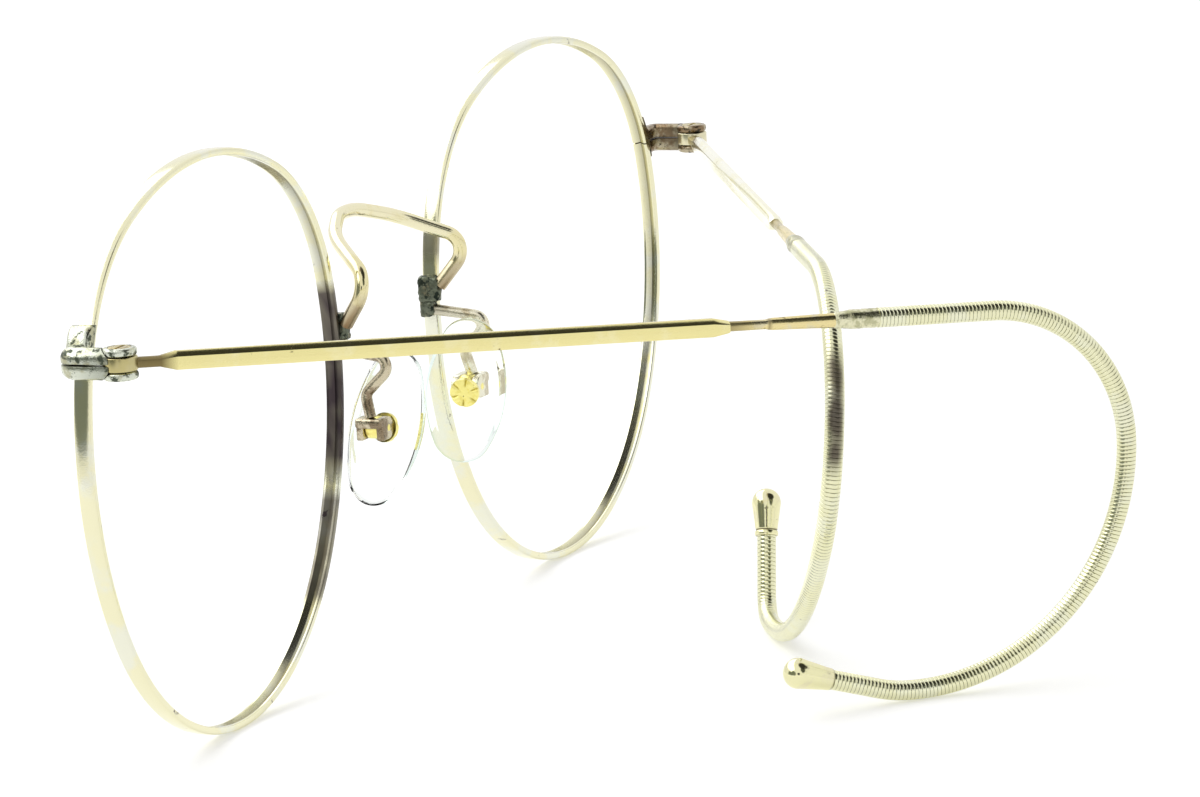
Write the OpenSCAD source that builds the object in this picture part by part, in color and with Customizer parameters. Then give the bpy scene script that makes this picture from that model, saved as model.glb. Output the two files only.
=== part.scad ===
// Round metal eyeglass frame with wound cable sides, resting on a table with
// both sides partly folded in. Millimetres. X points to the wearer's left,
// Y from the front of the rims to the back, Z up. The origin lies on the
// table, midway between the two rims.

/* [Rims] */
// Distance between the middle lines of the two rims
rim_spacing = 65.8; // [62:0.1:74]
// Radius of the flat arc over the top of a rim
rim_top_r = 33; // [29:0.5:37]
// Radius of the two upper corners
rim_corner_r = 16.2; // [14.5:0.1:18]
// Radius of the two lower sides
rim_side_r = 29.8; // [27:0.1:33]
// End of the top arc, in degrees from the top
rim_top_end = 24; // [21:0.5:27]
// End of an upper corner, in degrees from the top
rim_corner_end = 77; // [74:0.5:80]
// End of a lower side, in degrees from the top
rim_side_end = 121; // [117:0.5:126]
// Depth of the rim band, front to back
band_depth = 1.4; // [1.2:0.05:2]
// Thickness of the rim band
band_t = 0.64; // [0.55:0.01:0.9]
// Depth of the groove that holds the lens
groove_depth = 0.3; // [0.2:0.01:0.4]
// Width of the groove that holds the lens
groove_w = 0.9; // [0.6:0.05:1.1]
// Angle by which each rim turns back at its outer end
rim_wrap = 1.4; // [0:0.1:4]

/* [Endpieces and hinges] */
// Place of the endpiece round the rim, in degrees from the top
endpiece_turn = 71.4; // [60:0.2:74]
// Distance of the hinge axis outside the rim
hinge_out = 1.9; // [1.6:0.05:3]
// Distance of the hinge axis behind the middle of the front
hinge_back = 4.8; // [4.2:0.1:7]
// Height of the two halves of an endpiece together
endpiece_h = 2.5; // [2.3:0.05:3.2]
// Gap between the halves, which the hinge screw closes
split_gap = 0.12; // [0.08:0.01:0.2]
// Thickness of an endpiece, seen from above
strap_t = 1.4; // [1.1:0.05:1.8]
// Thickness of the seat brazed along the rim
seat_t = 0.85; // [0.6:0.05:1.2]
// Length of the seat above the split, in degrees round the corner
seat_up = 9; // [6:0.5:11]
// Length of the seat below the split, in degrees round the corner
seat_down = 5.6; // [3:0.2:5.6]
// Radius of the hinge knuckles
knuckle_r = 1.35; // [1.2:0.05:1.7]
// Height of the middle knuckle, on the temple
knuckle_h = 1.1; // [0.9:0.05:1.3]
// Gap between neighbouring knuckles
knuckle_gap = 0.05; // [0.03:0.01:0.08]
// Radius of the hinge screw's shank
screw_r = 0.55; // [0.45:0.01:0.65]
// Clearance of the temple knuckle round the screw
screw_clear = 0.05; // [0.03:0.01:0.08]
// Radius of the screw's flush head
head_r = 0.9; // [0.8:0.02:1.05]
// Height of the screw's head
head_h = 0.32; // [0.25:0.01:0.4]

/* [Bridge] */
// Diameter of the bridge wire
bridge_d = 1.2; // [1.05:0.05:1.5]
// Place of the bridge feet round the rim, in degrees from the top
bridge_turn = 85.5; // [83:0.5:88]
// Distance of the wire's ends behind the middle of the rims
foot_back = 0.6; // [0.3:0.05:0.8]
// Height of the rear bends over the feet
knee_rise = 4; // [3.5:0.1:4.6]
// Distance of the rear bends behind the feet
knee_back = 4; // [3.4:0.1:4.4]
// Distance of the rear bends outside the feet
knee_out = 0.8; // [0.5:0.1:1.2]
// Height of the shoulders over the feet
shoulder_rise = 7; // [6.5:0.1:7.5]
// Distance of the shoulders in front of the feet
shoulder_front = 1.2; // [0.8:0.1:1.6]
// Distance of the shoulders inside the feet
shoulder_in = 3.8; // [3.4:0.1:4.2]
// Height of the crest over the feet
crest_rise = 8.2; // [7.8:0.1:8.8]
// Distance of the crest in front of the feet
crest_front = 2.75; // [2.3:0.05:3.2]
// Half width of the crest between its corners
crest_half_w = 1.6; // [1.4:0.1:2]
// Height of the solder at a bridge foot
solder_h = 2.2; // [1.8:0.1:3]
// Width of the solder at a bridge foot
solder_w = 1.05; // [0.9:0.05:1.4]
// Radius of the rear bends
knee_r = 1.9; // [1.5:0.1:2.2]
// Radius of the shoulders' bends
shoulder_r = 7; // [5:0.2:8]
// Radius of the crest's corners
crest_r = 6; // [4:0.2:6.2]

/* [Nose pads] */
// Length of a nose pad
pad_l = 13.4; // [11:0.2:15]
// Width of a nose pad
pad_w = 7; // [6:0.1:8]
// Radius of the pad's two ends
pad_end_r = 2.6; // [2.2:0.1:2.9]
// Thickness of a pad in its middle
pad_t = 1.5; // [1.3:0.05:1.9]
// Radius of the pad's crowned face
pad_crown_r = 26; // [22:1:40]
// Distance of the pad's pin from the middle of the frame
pin_x = 9.5; // [9.1:0.1:10]
// Distance of the pad's pin behind the front
pin_y = 2.7; // [2.2:0.1:3.4]
// Height of the pad's pin
pin_z = 20.1; // [19:0.1:21]
// Lean of a pad's top towards the back, in degrees
pad_pitch = 12; // [6:0.5:16]
// Lean of a pad's top towards the nose, in degrees
pad_lean = 9; // [6:0.5:12]
// Turn of a pad's rear edge away from the nose, in degrees
pad_splay = 12; // [6:0.5:16]
// Radius of the stud's disc inside the pad
disc_r = 1.25; // [1:0.05:1.5]
// Thickness of the stud's disc
disc_t = 0.6; // [0.4:0.05:0.8]
// Distance of the pad's outer face from the pin
stud_reach = 1.2; // [1.1:0.05:1.6]
// Radius of the stud's post, which clears the cheeks
stud_post_r = 0.36; // [0.3:0.01:0.4]
// Radius of the pin through the pad's box
pin_r = 0.36; // [0.3:0.01:0.42]
// Clearance of the stud's ear round the pin
pin_clear = 0.04; // [0.03:0.01:0.06]
// Radius of the ear and of the box's cheeks
cheek_r = 0.95; // [0.8:0.05:1.05]
// Thickness of a cheek
cheek_t = 0.65; // [0.5:0.05:0.8]
// Thickness of the stud's ear
ear_t = 1.1; // [0.8:0.05:1.3]
// Gap between the ear and a cheek
ear_gap = 0.05; // [0.04:0.01:0.08]
// Height of the solder at an arm's foot
arm_solder_h = 1.3; // [1.1:0.1:1.8]
// Diameter of the pad arm's wire
arm_d = 0.95; // [0.8:0.05:1.1]
// Reach of the arm's loop behind the pin
arm_reach = 2.6; // [2.2:0.1:3.2]
// Height of the arm's loop over the pin
arm_rise = 5.8; // [5.4:0.1:6.4]
// Radius of the arm's bends
arm_bend_r = 0.9; // [0.7:0.05:1]

/* [Temple bars] */
// Distance from the hinge axis to the front of the flat bar
bar_start = 3; // [2.6:0.1:4]
// Distance from the hinge axis to the rear end of the flat bar
bar_end = 49.6; // [40:0.1:56]
// Height of the flat bar
bar_h = 1.45; // [1.25:0.05:1.8]
// Thickness of the flat bar
bar_t = 1.15; // [1.05:0.05:1.4]
// Bevel along the edges of the bar
bar_bevel = 0.27; // [0.15:0.01:0.35]
// Length of the slopes at the two ends of the bar
bar_slope = 1; // [0.7:0.1:1.6]
// Height of the tongue between the hinge and the bar
tongue_h = 0.8; // [0.6:0.05:0.9]
// Depth of the hole in the bar that holds the cable's core
core_seat = 2.5; // [1.5:0.1:4]

/* [Cable ends] */
// Diameter of the core wire
core_d = 0.84; // [0.7:0.02:0.9]
// Clearance round the core where it enters the bar and the tip
core_clear = 0.01; // [0.005:0.005:0.02]
// Distance from the hinge axis to the start of the winding
winding_start = 58.7; // [56.5:0.1:62]
// Outer diameter of the winding
winding_d = 1.62; // [1.5:0.02:1.8]
// Depth of the grooves between the turns of the winding
turn_depth = 0.09; // [0.06:0.01:0.12]
// Number of ribs on each winding
ribs = 96; // [60:1:100]
// Length of a temple tip
tip_l = 4.1; // [3.6:0.1:5]
// Radius of the tip's round end
tip_r = 1.25; // [1.1:0.05:1.5]
// Radius of the tip's collar
collar_r = 1; // [0.92:0.02:1.1]
// Length of the tip's collar
collar_l = 1; // [0.7:0.1:1.3]

/* [Left side as it was bent] */
// How far the left temple is folded in, in degrees
left_fold = 41.5; // [30:0.5:44]
// Fall of the left temple towards its end, in degrees
left_fall = 3.04; // [2:0.02:4]
// Lean of the left curl towards the head, in degrees
left_lean = 0; // [0:0.5:4]
// Distance from the hinge axis to the start of the left curl
left_curl_start = 71.1; // [68:0.1:73]
// Radii of the left curl, from the first bend to the last
left_curl_r = [11.5, 18.5, 10.6];
// Turns of the left curl, in degrees, in the same order
left_curl_turn = [88.4, 93.2, 12.8];
// Straight run to the end of the left tip
left_curl_run = 8.2; // [7:0.1:9]

/* [Right side as it was bent] */
// How far the right temple is folded in, in degrees
right_fold = 59.3; // [50:0.5:70]
// Fall of the right temple towards its end, in degrees
right_fall = 1.27; // [0.6:0.01:3]
// Lean of the right curl towards the head, in degrees
right_lean = 6.4; // [0:0.2:8]
// Distance from the hinge axis to the start of the right curl
right_curl_start = 68.7; // [66:0.1:71]
// Radii of the right curl, from the first bend to the last
right_curl_r = [13.6, 25.9, 2.9];
// Turns of the right curl, in degrees, in the same order
right_curl_turn = [124.7, 57.2, 66.7];
// Straight run to the end of the right tip
right_curl_run = 9; // [8:0.1:10]

/* [Hidden] */
$fn = 64;

gold = "#d8bf86";
yellow_gold = "#d9b64c";
bridge_gold = "#d5b98d";
worn_silver = "#c9c9bd";
solder = "#6d6f63";
brass = "#c9a93a";
clear = "#dfe8e2";

LEFT = 1;
RIGHT = -1;

// A direction by its angle from the top of the rim, as [outwards, upwards]
function turned(a) = [sin(a), cos(a)];

// Small arcs are this much larger than in line, so that they cross their neighbours cleanly
arc_lap = 0.01;

// The rim's outline: arcs that meet in line, the bottom one closing it
bottom_r = rim_side_r
    - ((rim_side_r - rim_corner_r) * sin(rim_corner_end)
        + (rim_corner_r - rim_top_r) * sin(rim_top_end)) / sin(rim_side_end);
bottom_c = [0, bottom_r + arc_lap];
side_c = bottom_c + (bottom_r - rim_side_r) * turned(rim_side_end);
corner_c = side_c + (rim_side_r - rim_corner_r) * turned(rim_corner_end);
top_c = corner_c + (rim_corner_r - rim_top_r) * turned(rim_top_end);

// A point of the rim's own plane, as a point of the frame
function in_front(p) = [rim_spacing / 2 + p.x * cos(rim_wrap), p.x * sin(rim_wrap), p.y];

hinge_at = in_front(corner_c + rim_corner_r * turned(endpiece_turn));
hinge_x = hinge_at.x + hinge_out;
hinge_z = hinge_at.z;
foot_local = side_c + rim_side_r * turned(bridge_turn);
foot = in_front([-foot_local.x, foot_local.y]);
endpiece_y = hinge_at.y - band_depth / 2;
core_r = core_d / 2;
overlap = 0.5;

// Largest turn between two stations of a bent wire, in degrees
bend_step = 12;

// Puts a left-hand piece on its side of the frame
module on(side) {
    if (side == LEFT) children();
    else mirror([1, 0, 0]) children();
}

// The frame of the left rim: X outwards, Z up, on the table
module at_rim() {
    translate([rim_spacing / 2, 0, 0]) rotate([0, 0, rim_wrap]) children();
}

// Stands a profile of radius and depth round the rim's upper corner
module round_corner(from, to) {
    at_rim() translate([corner_c.x, 0, corner_c.y]) rotate([90, 0, 0])
        rotate([0, 0, 90 - to]) rotate_extrude(angle = to - from) children();
}

// A full disc whose edge is one arc of the rim, drawn in by the given inset.
// With a ridge, it cuts the opening and the groove that holds the lens
module arc_disc(r, c, inset, ridge) {
    h = ridge ? band_depth : band_depth / 2;
    e = r - inset;
    translate([c.x, 0, c.y]) rotate([90, 0, 0]) rotate_extrude()
        polygon(ridge
            ? [[0, -h], [e, -h], [e, -groove_w / 2], [e + groove_depth, 0],
                [e, groove_w / 2], [e, h], [0, h]]
            : [[0, -h], [e, -h], [e, h], [0, h]]);
}

// The points where the arcs meet, and the points straight outside them
function meets(inset, out) =
    [corner_c + (rim_corner_r - inset + out) * turned(rim_top_end),
        corner_c + (rim_corner_r - inset + out) * turned(rim_corner_end),
        side_c + (rim_side_r - inset + out) * turned(rim_side_end)];

// What lies inside the rim's outline: the three large arcs cross-cut each other
// inside a frame of points, and the small arcs round off what lies between
module rim_inside(inset, ridge) {
    p = meets(inset, 0);
    q = meets(inset, rim_corner_r / 2);
    half = [q[0], p[0], p[1], q[1], q[2], p[2]];
    other = [for (i = [len(half) - 1 : -1 : 0]) [-half[i].x, half[i].y]];
    intersection() {
        arc_disc(rim_top_r, top_c, inset, ridge);
        arc_disc(rim_side_r, side_c, inset, ridge);
        arc_disc(rim_side_r, [-side_c.x, side_c.y], inset, ridge);
        rotate([90, 0, 0]) linear_extrude(height = 4 * band_depth, center = true)
            polygon(concat(half, other));
    }
    arc_disc(rim_corner_r + arc_lap, corner_c, inset, ridge);
    arc_disc(rim_corner_r + arc_lap, [-corner_c.x, corner_c.y], inset, ridge);
    arc_disc(bottom_r + arc_lap, bottom_c, inset, ridge);
}

module rim() {
    color(gold) difference() {
        at_rim() difference() {
            rim_inside(0, false);
            rim_inside(band_t, true);
        }
        translate([hinge_at.x - 2 * band_t, -2 * band_depth, hinge_z - split_gap / 2])
            cube([4 * band_t, 6 * band_depth, split_gap]);
    }
}

// The space inside the outer faces of the rim's corner and of its inner side
module corner_blank() {
    at_rim() translate([corner_c.x, 0, corner_c.y]) rotate([90, 0, 0])
        cylinder(r = rim_corner_r + arc_lap, h = 4 * band_depth, center = true);
}

module side_blank() {
    at_rim() translate([-side_c.x, band_depth / 2, side_c.y])
        rotate([90, 0, 0]) cylinder(r = rim_side_r, h = 3 * band_depth);
}

// The endpiece seen from above: out from the rim, round a corner and back to the hinge
module strap_plan() {
    x0 = hinge_at.x - overlap;
    x1 = hinge_x + knuckle_r;
    y0 = endpiece_y;
    difference() {
        polygon([[x0, y0], [x1, y0], [x1, hinge_back], [x1 - strap_t, hinge_back],
            [x1 - strap_t, y0 + strap_t], [x0, y0 + strap_t]]);
        translate([x1 - strap_t, y0 + strap_t]) difference() {
            translate([0, -2 * strap_t]) square(2 * strap_t);
            circle(r = strap_t);
        }
    }
    translate([hinge_x, hinge_back]) circle(r = knuckle_r);
}

// The seat that follows the rim, from the split to the given number of degrees
module seat(from, to) {
    round_corner(from, to)
        translate([rim_corner_r, -band_depth / 2]) square([seat_t, band_depth]);
}

module endpiece_upper() {
    top = hinge_z + endpiece_h / 2;
    color(worn_silver) difference() {
        union() {
            translate([0, 0, hinge_z + split_gap / 2])
                linear_extrude(height = (endpiece_h - split_gap) / 2) strap_plan();
            seat(endpiece_turn - seat_up, endpiece_turn);
        }
        corner_blank();
        translate([hinge_x - strap_t * 4, -band_depth * 2, hinge_z - endpiece_h])
            cube([strap_t * 8, band_depth * 4, endpiece_h + split_gap / 2]);
        translate([hinge_x, hinge_back, hinge_z - endpiece_h])
            cylinder(r = knuckle_r + knuckle_gap, h = endpiece_h + knuckle_h / 2 + knuckle_gap);
        translate([hinge_x, hinge_back, hinge_z]) cylinder(r = screw_r, h = endpiece_h);
        translate([hinge_x, hinge_back, top - head_h]) cylinder(r = head_r, h = endpiece_h);
    }
}

module endpiece_lower() {
    color(worn_silver) difference() {
        union() {
            translate([0, 0, hinge_z - endpiece_h / 2])
                linear_extrude(height = (endpiece_h - split_gap) / 2) strap_plan();
            seat(endpiece_turn, endpiece_turn + seat_down);
        }
        corner_blank();
        translate([hinge_x - strap_t * 4, -band_depth * 2, hinge_z - split_gap / 2])
            cube([strap_t * 8, band_depth * 4, endpiece_h]);
        translate([hinge_x, hinge_back, hinge_z - knuckle_h / 2 - knuckle_gap])
            cylinder(r = knuckle_r + knuckle_gap, h = endpiece_h);
        translate([hinge_x, hinge_back, hinge_z - endpiece_h])
            cylinder(r = screw_r, h = endpiece_h);
    }
}

module hinge_screw() {
    top = hinge_z + endpiece_h / 2;
    color(brass) difference() {
        union() {
            translate([hinge_x, hinge_back, hinge_z - endpiece_h / 2])
                cylinder(r = screw_r, h = endpiece_h);
            translate([hinge_x, hinge_back, top - head_h]) cylinder(r = head_r, h = head_h);
        }
        translate([hinge_x, hinge_back, top])
            cube([2 * head_r, screw_r / 2, head_h], center = true);
    }
}

function unit(v) = v / norm(v);

function any_across(v) = unit(abs(v.z) < 0.9 ? cross(v, [0, 0, 1]) : cross(v, [1, 0, 0]));

// How far a bend of radius r at corner i reaches along its two runs
function bend_reach(p, r, i) =
    let (u = unit(p[i - 1] - p[i]), v = unit(p[i + 1] - p[i]))
    r[i] * tan((180 - acos(u * v)) / 2);

// Stations [place, heading] round the bend of radius r[i] at corner i
function bend(p, r, i) =
    let (u = unit(p[i - 1] - p[i]), v = unit(p[i + 1] - p[i]),
        half = acos(u * v) / 2,
        centre = p[i] + unit(u + v) * r[i] / sin(half),
        out = unit(p[i] + u * bend_reach(p, r, i) - centre),
        turn = 180 - 2 * half,
        n = ceil(turn / bend_step))
    [for (k = [0 : n])
        let (a = turn * k / n)
        [centre + r[i] * (out * cos(a) - u * sin(a)), -u * cos(a) - out * sin(a)]];

// Stations of a wire through corners p, bent to radius r[i] at corner i
function bent(p, r) =
    let (last = len(p) - 1)
    concat([[p[0], unit(p[1] - p[0])]],
        [for (i = [1 : last - 1]) each bend(p, r, i)],
        [[p[last], unit(p[last] - p[last - 1])]]);

// A direction u across heading a, carried over to heading b without twist
function carried(u, a, b) =
    let (k = cross(a, b), s = norm(k))
    s < 0.000001 ? u
        : let (n = k / s, t = atan2(s, a * b))
            u * cos(t) + cross(n, u) * sin(t) + n * (n * u) * (1 - cos(t));

// Triangles between ring i and the next, wound outwards, or inwards for a bore
function band(i, sides, inwards) =
    [for (k = [0 : sides - 1])
        let (a = i * sides + k, b = i * sides + (k + 1) % sides, c = a + sides, d = b + sides)
        each inwards ? [[a, b, c], [b, d, c]] : [[a, c, b], [b, c, d]]];

// A round wire of diameter d swept along its stations
module wire(path, d, sides) {
    last = len(path) - 1;
    rings = [for (i = 0, u = any_across(path[0][1]); i <= last;
        u = i < last ? carried(u, path[i][1], path[i + 1][1]) : u, i = i + 1)
        let (v = cross(path[i][1], u))
        [for (k = [0 : sides - 1])
            path[i][0] + d / 2 * (u * cos(k * 360 / sides) + v * sin(k * 360 / sides))]];
    polyhedron(
        points = [for (r = rings) each r],
        faces = concat(
            [for (i = [0 : last - 1]) each band(i, sides, false)],
            [for (k = [1 : sides - 2]) [0, k, k + 1]],
            [for (k = [1 : sides - 2]) [last * sides, last * sides + k + 1, last * sides + k]]));
}

foot_at = foot - [solder_w - band_depth / 2, 0, 0];
wire_end = foot_at + [0, foot_back, 0];
knee = foot + [knee_out, knee_back, knee_rise];
shoulder = foot + [-shoulder_in, -shoulder_front, shoulder_rise];
crest = [crest_half_w, foot.y - crest_front, foot.z + crest_rise];

// The block of solder that joins a bridge foot to the rim, from height z0 to z1
module solder_foot(z0, z1) {
    translate([foot_at.x, foot_at.y, z0]) cylinder(d = band_depth, h = z1 - z0);
    translate([foot_at.x, foot_at.y - band_depth / 2, z0])
        cube([solder_w, band_depth, z1 - z0]);
}

module bridge() {
    p = [wire_end, knee, shoulder, crest];
    r = [0, knee_r, shoulder_r, crest_r];
    back = [for (i = [len(p) - 1 : -1 : 0]) [-p[i].x, p[i].y, p[i].z]];
    back_r = [for (i = [len(r) - 1 : -1 : 0]) r[i]];
    color(bridge_gold) difference() {
        union() {
            wire(bent(concat(p, back), concat(r, back_r)), bridge_d, 16);
            for (side = [LEFT, RIGHT]) on(side) solder_foot(foot.z - solder_h / 2, foot.z + solder_h / 2);
        }
        for (side = [LEFT, RIGHT]) on(side) side_blank();
    }
}

pin_at = [pin_x, pin_y, pin_z];
box_w = ear_t + 2 * ear_gap + 2 * cheek_t;
web_t = 0.5;
web_x = cheek_r + ear_gap;
arm_foot_z = foot.z - solder_h / 2;

// The arm that holds a nose pad: a bent wire with a two-cheeked box at its end
module pad_arm() {
    top = [pin_x + web_x + web_t / 2 - arm_d / 2, pin_y, pin_z + cheek_r];
    start = [foot_at.x, foot_at.y, arm_foot_z - arm_solder_h / 2];
    loop_back = [pin_x + arm_d / 2, pin_y + arm_reach, pin_z + arm_rise];
    drop = [pin_x + arm_d / 2, pin_y - arm_d / 2, pin_z + arm_rise / 2];
    color(solder) difference() {
        union() {
            wire(bent([start, loop_back, drop, top], [0, arm_bend_r, arm_bend_r, 0]), arm_d, 12);
            solder_foot(arm_foot_z - arm_solder_h, arm_foot_z);
            translate([pin_x + web_x, pin_y - box_w / 2, pin_z - cheek_r])
                cube([web_t, box_w, 2 * cheek_r]);
            for (y = [-box_w / 2, box_w / 2 - cheek_t]) translate([pin_x, pin_y + y, pin_z]) {
                rotate([-90, 0, 0]) cylinder(r = cheek_r, h = cheek_t);
                translate([0, 0, -cheek_r]) cube([web_x + web_t / 2, cheek_t, 2 * cheek_r]);
            }
        }
        side_blank();
        translate([pin_x, pin_y - box_w, pin_z]) rotate([-90, 0, 0])
            cylinder(r = pin_r, h = 2 * box_w);
        translate([pin_x - web_x, pin_y - box_w / 2 + cheek_t, pin_z - 2 * cheek_r])
            cube([2 * web_x, box_w - 2 * cheek_t, 3 * cheek_r + web_t]);
    }
}

module pad_pin() {
    color(brass) translate([pin_x, pin_y - box_w / 2, pin_z]) rotate([-90, 0, 0])
        cylinder(r = pin_r, h = box_w);
}

// The frame of a nose pad: X away from the nose, Z along the pad, at its pin
module at_pad() {
    translate(pin_at) rotate([-pad_pitch, 0, 0]) rotate([0, -pad_lean, -pad_splay]) children();
}

module pad_stud() {
    color(brass) difference() {
        union() {
            translate([pin_x, pin_y - ear_t / 2, pin_z]) rotate([-90, 0, 0])
                cylinder(r = cheek_r, h = ear_t);
            at_pad() translate([-stud_reach - disc_t, 0, 0]) rotate([0, 90, 0]) {
                cylinder(r = disc_r, h = disc_t);
                cylinder(r = stud_post_r, h = stud_reach + disc_t - pin_r);
            }
        }
        translate([pin_x, pin_y - box_w, pin_z]) rotate([-90, 0, 0])
            cylinder(r = pin_r + pin_clear, h = 2 * box_w);
    }
}

// The pad's outline: two flat arcs joined by round ends that meet them in line
module pad_outline() {
    reach = pad_l / 2 - pad_end_r;
    side_r = (reach * reach + pad_w * pad_w / 4 - pad_end_r * pad_end_r) / (pad_w - 2 * pad_end_r);
    meet = side_r * reach / (side_r - pad_end_r);
    intersection() {
        translate([-(side_r - pad_w / 2), 0]) circle(r = side_r);
        translate([side_r - pad_w / 2, 0]) circle(r = side_r);
        square([2 * pad_w, 2 * meet], center = true);
    }
    for (y = [-reach, reach]) translate([0, y]) circle(r = pad_end_r + arc_lap);
}

module pad() {
    color(clear, 0.6) difference() {
        at_pad() translate([-stud_reach, 0, 0]) intersection() {
            rotate([90, 0, -90]) linear_extrude(height = pad_t) pad_outline();
            translate([pad_crown_r - pad_t, 0, 0]) sphere(r = pad_crown_r, $fn = 240);
        }
        at_pad() translate([-stud_reach - disc_t, 0, 0]) rotate([0, 90, 0])
            cylinder(r = disc_r, h = stud_reach);
    }
}

// The frame of a temple at its hinge, folded in by the given angle: Y along the temple
module at_hinge(fold) {
    translate([hinge_x, hinge_back, hinge_z]) rotate([0, 0, fold]) children();
}

// The plane of a cable end: X along the temple, Y down, Z towards the head
module in_curl_plane(fold, fall, lean) {
    at_hinge(fold) rotate([-90, 0, 90]) rotate([0, 0, fall]) rotate([lean, 0, 0]) children();
}

// The bar's side view, as [along, up]: tongue, slope, bar, slope, socket
function bar_side() =
    let (a = tongue_h / 2, b = bar_h / 2, c = core_r + 2 * bar_bevel / 3)
    [[0, -a], [bar_start, -a], [bar_start + bar_slope, -b], [bar_end - bar_slope, -b],
        [bar_end, -c], [bar_end, c], [bar_end - bar_slope, b], [bar_start + bar_slope, b],
        [bar_start, a], [0, a]];

// The bar's cross-section, as [across, up], with its four edges bevelled
function bar_section() =
    let (x = bar_t / 2, y = bar_h / 2, e = bar_bevel)
    [[x - e, -y], [x, -y + e], [x, y - e], [x - e, y],
        [-x + e, y], [-x, y - e], [-x, -y + e], [-x + e, -y]];

module temple_bar(fold, fall) {
    color(yellow_gold) at_hinge(fold) difference() {
        union() {
            translate([0, 0, -knuckle_h / 2]) cylinder(r = knuckle_r, h = knuckle_h);
            rotate([-fall, 0, 0]) intersection() {
                rotate([-90, 0, 0]) linear_extrude(height = bar_end) polygon(bar_section());
                translate([-bar_t, 0, 0]) rotate([90, 0, 90])
                    linear_extrude(height = 2 * bar_t) polygon(bar_side());
            }
        }
        translate([0, 0, -knuckle_h]) cylinder(r = screw_r + screw_clear, h = 2 * knuckle_h);
        rotate([-fall, 0, 0]) translate([0, bar_end - core_seat, 0]) rotate([-90, 0, 0])
            cylinder(r = core_r + core_clear, h = 2 * core_seat);
    }
}

// A curl is [start, radii, turns, run]. Its bends follow each other in line
function turn_before(curl, i) = i == 0 ? 0 : turn_before(curl, i - 1) + curl[2][i - 1];
function bend_centre(curl, i) =
    let (a = turn_before(curl, i))
    bend_start(curl, i) + curl[1][i] * [-sin(a), cos(a)];
function bend_start(curl, i) =
    i == 0 ? [curl[0], 0]
    : let (a = turn_before(curl, i)) bend_centre(curl, i - 1) + curl[1][i - 1] * [sin(a), -cos(a)];
function last_turn(curl) = turn_before(curl, len(curl[1]));
function run_start(curl) = bend_start(curl, len(curl[1]));

// Length of a curl up to the start of bend i, and the place and heading at length t
function bend_length(curl, i) = curl[1][i] * curl[2][i] * PI / 180;
function length_to(curl, i) = i == 0 ? curl[0] : length_to(curl, i - 1) + bend_length(curl, i - 1);
function bend_at(curl, t, i = 0) =
    i == len(curl[1]) || t < length_to(curl, i + 1) ? i : bend_at(curl, t, i + 1);
function heading(curl, t) =
    t <= curl[0] ? 0
    : let (i = bend_at(curl, t))
        i == len(curl[1]) ? last_turn(curl)
        : turn_before(curl, i) + (t - length_to(curl, i)) / curl[1][i] * 180 / PI;
function place(curl, t) =
    t <= curl[0] ? [t, 0]
    : let (i = bend_at(curl, t), a = heading(curl, t))
        i == len(curl[1]) ? run_start(curl) + (t - length_to(curl, i)) * [cos(a), sin(a)]
        : bend_centre(curl, i) + curl[1][i] * [sin(a), -cos(a)];

// Whether the cable bends sharply at length t
function tight(curl, t) =
    let (i = bend_at(curl, t)) t > curl[0] && i < len(curl[1]) && curl[1][i] < 4 * winding_d;

ring_sides = 8;
bore_r = (core_r + 0.02) / cos(180 / ring_sides);

function ring(curl, t, r) =
    let (c = place(curl, t), a = heading(curl, t))
    [for (k = [0 : ring_sides - 1])
        let (b = k * 360 / ring_sides)
        [c.x - r * cos(b) * sin(a), c.y + r * cos(b) * cos(a), r * sin(b)]];

// Triangles of the flat end between an outer ring and a bore ring
function end_face(outer, inner, flip) =
    [for (k = [0 : ring_sides - 1])
        let (n = (k + 1) % ring_sides,
            a = outer + k, b = outer + n, c = inner + k, d = inner + n)
        each flip ? [[a, d, b], [a, c, d]] : [[a, b, d], [a, d, c]]];

function winding_end(curl) = length_to(curl, len(curl[1])) + curl[3] - tip_l;

// Where the core and the bore that it fills have their rings
function bore_at(curl) =
    let (to = winding_end(curl))
    [for (i = [0 : ribs])
        let (t = winding_start + i * (to - winding_start) / ribs)
        if (i % 3 == 0 || i == ribs || tight(curl, t)) t];

module cable_core(fold, fall, lean, curl) {
    stops = concat(bar_end - core_seat, bore_at(curl), winding_end(curl) + tip_l - tip_r);
    path = [for (t = stops)
        let (c = place(curl, t), a = heading(curl, t)) [[c.x, c.y, 0], [cos(a), sin(a), 0]]];
    color(gold) in_curl_plane(fold, fall, lean) wire(path, core_d, 16);
}

module cable_winding(fold, fall, lean, curl) {
    from = winding_start;
    to = winding_end(curl);
    pitch = (to - from) / ribs;
    outer = [for (i = [0 : 2 * ribs])
        ring(curl, from + i * pitch / 2, winding_d / 2 - (i % 2 == 0 ? turn_depth : 0))];
    bore = [for (t = bore_at(curl)) ring(curl, t, bore_r)];
    n = len(outer);
    last = len(bore) - 1;
    color(gold) in_curl_plane(fold, fall, lean) polyhedron(
        points = [for (r = concat(outer, bore)) each r],
        faces = concat(
            [for (i = [0 : n - 2]) each band(i, ring_sides, false)],
            [for (i = [n : n + last - 1]) each band(i, ring_sides, true)],
            end_face(0, n * ring_sides, false),
            end_face((n - 1) * ring_sides, (n + last) * ring_sides, true)));
}

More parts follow.
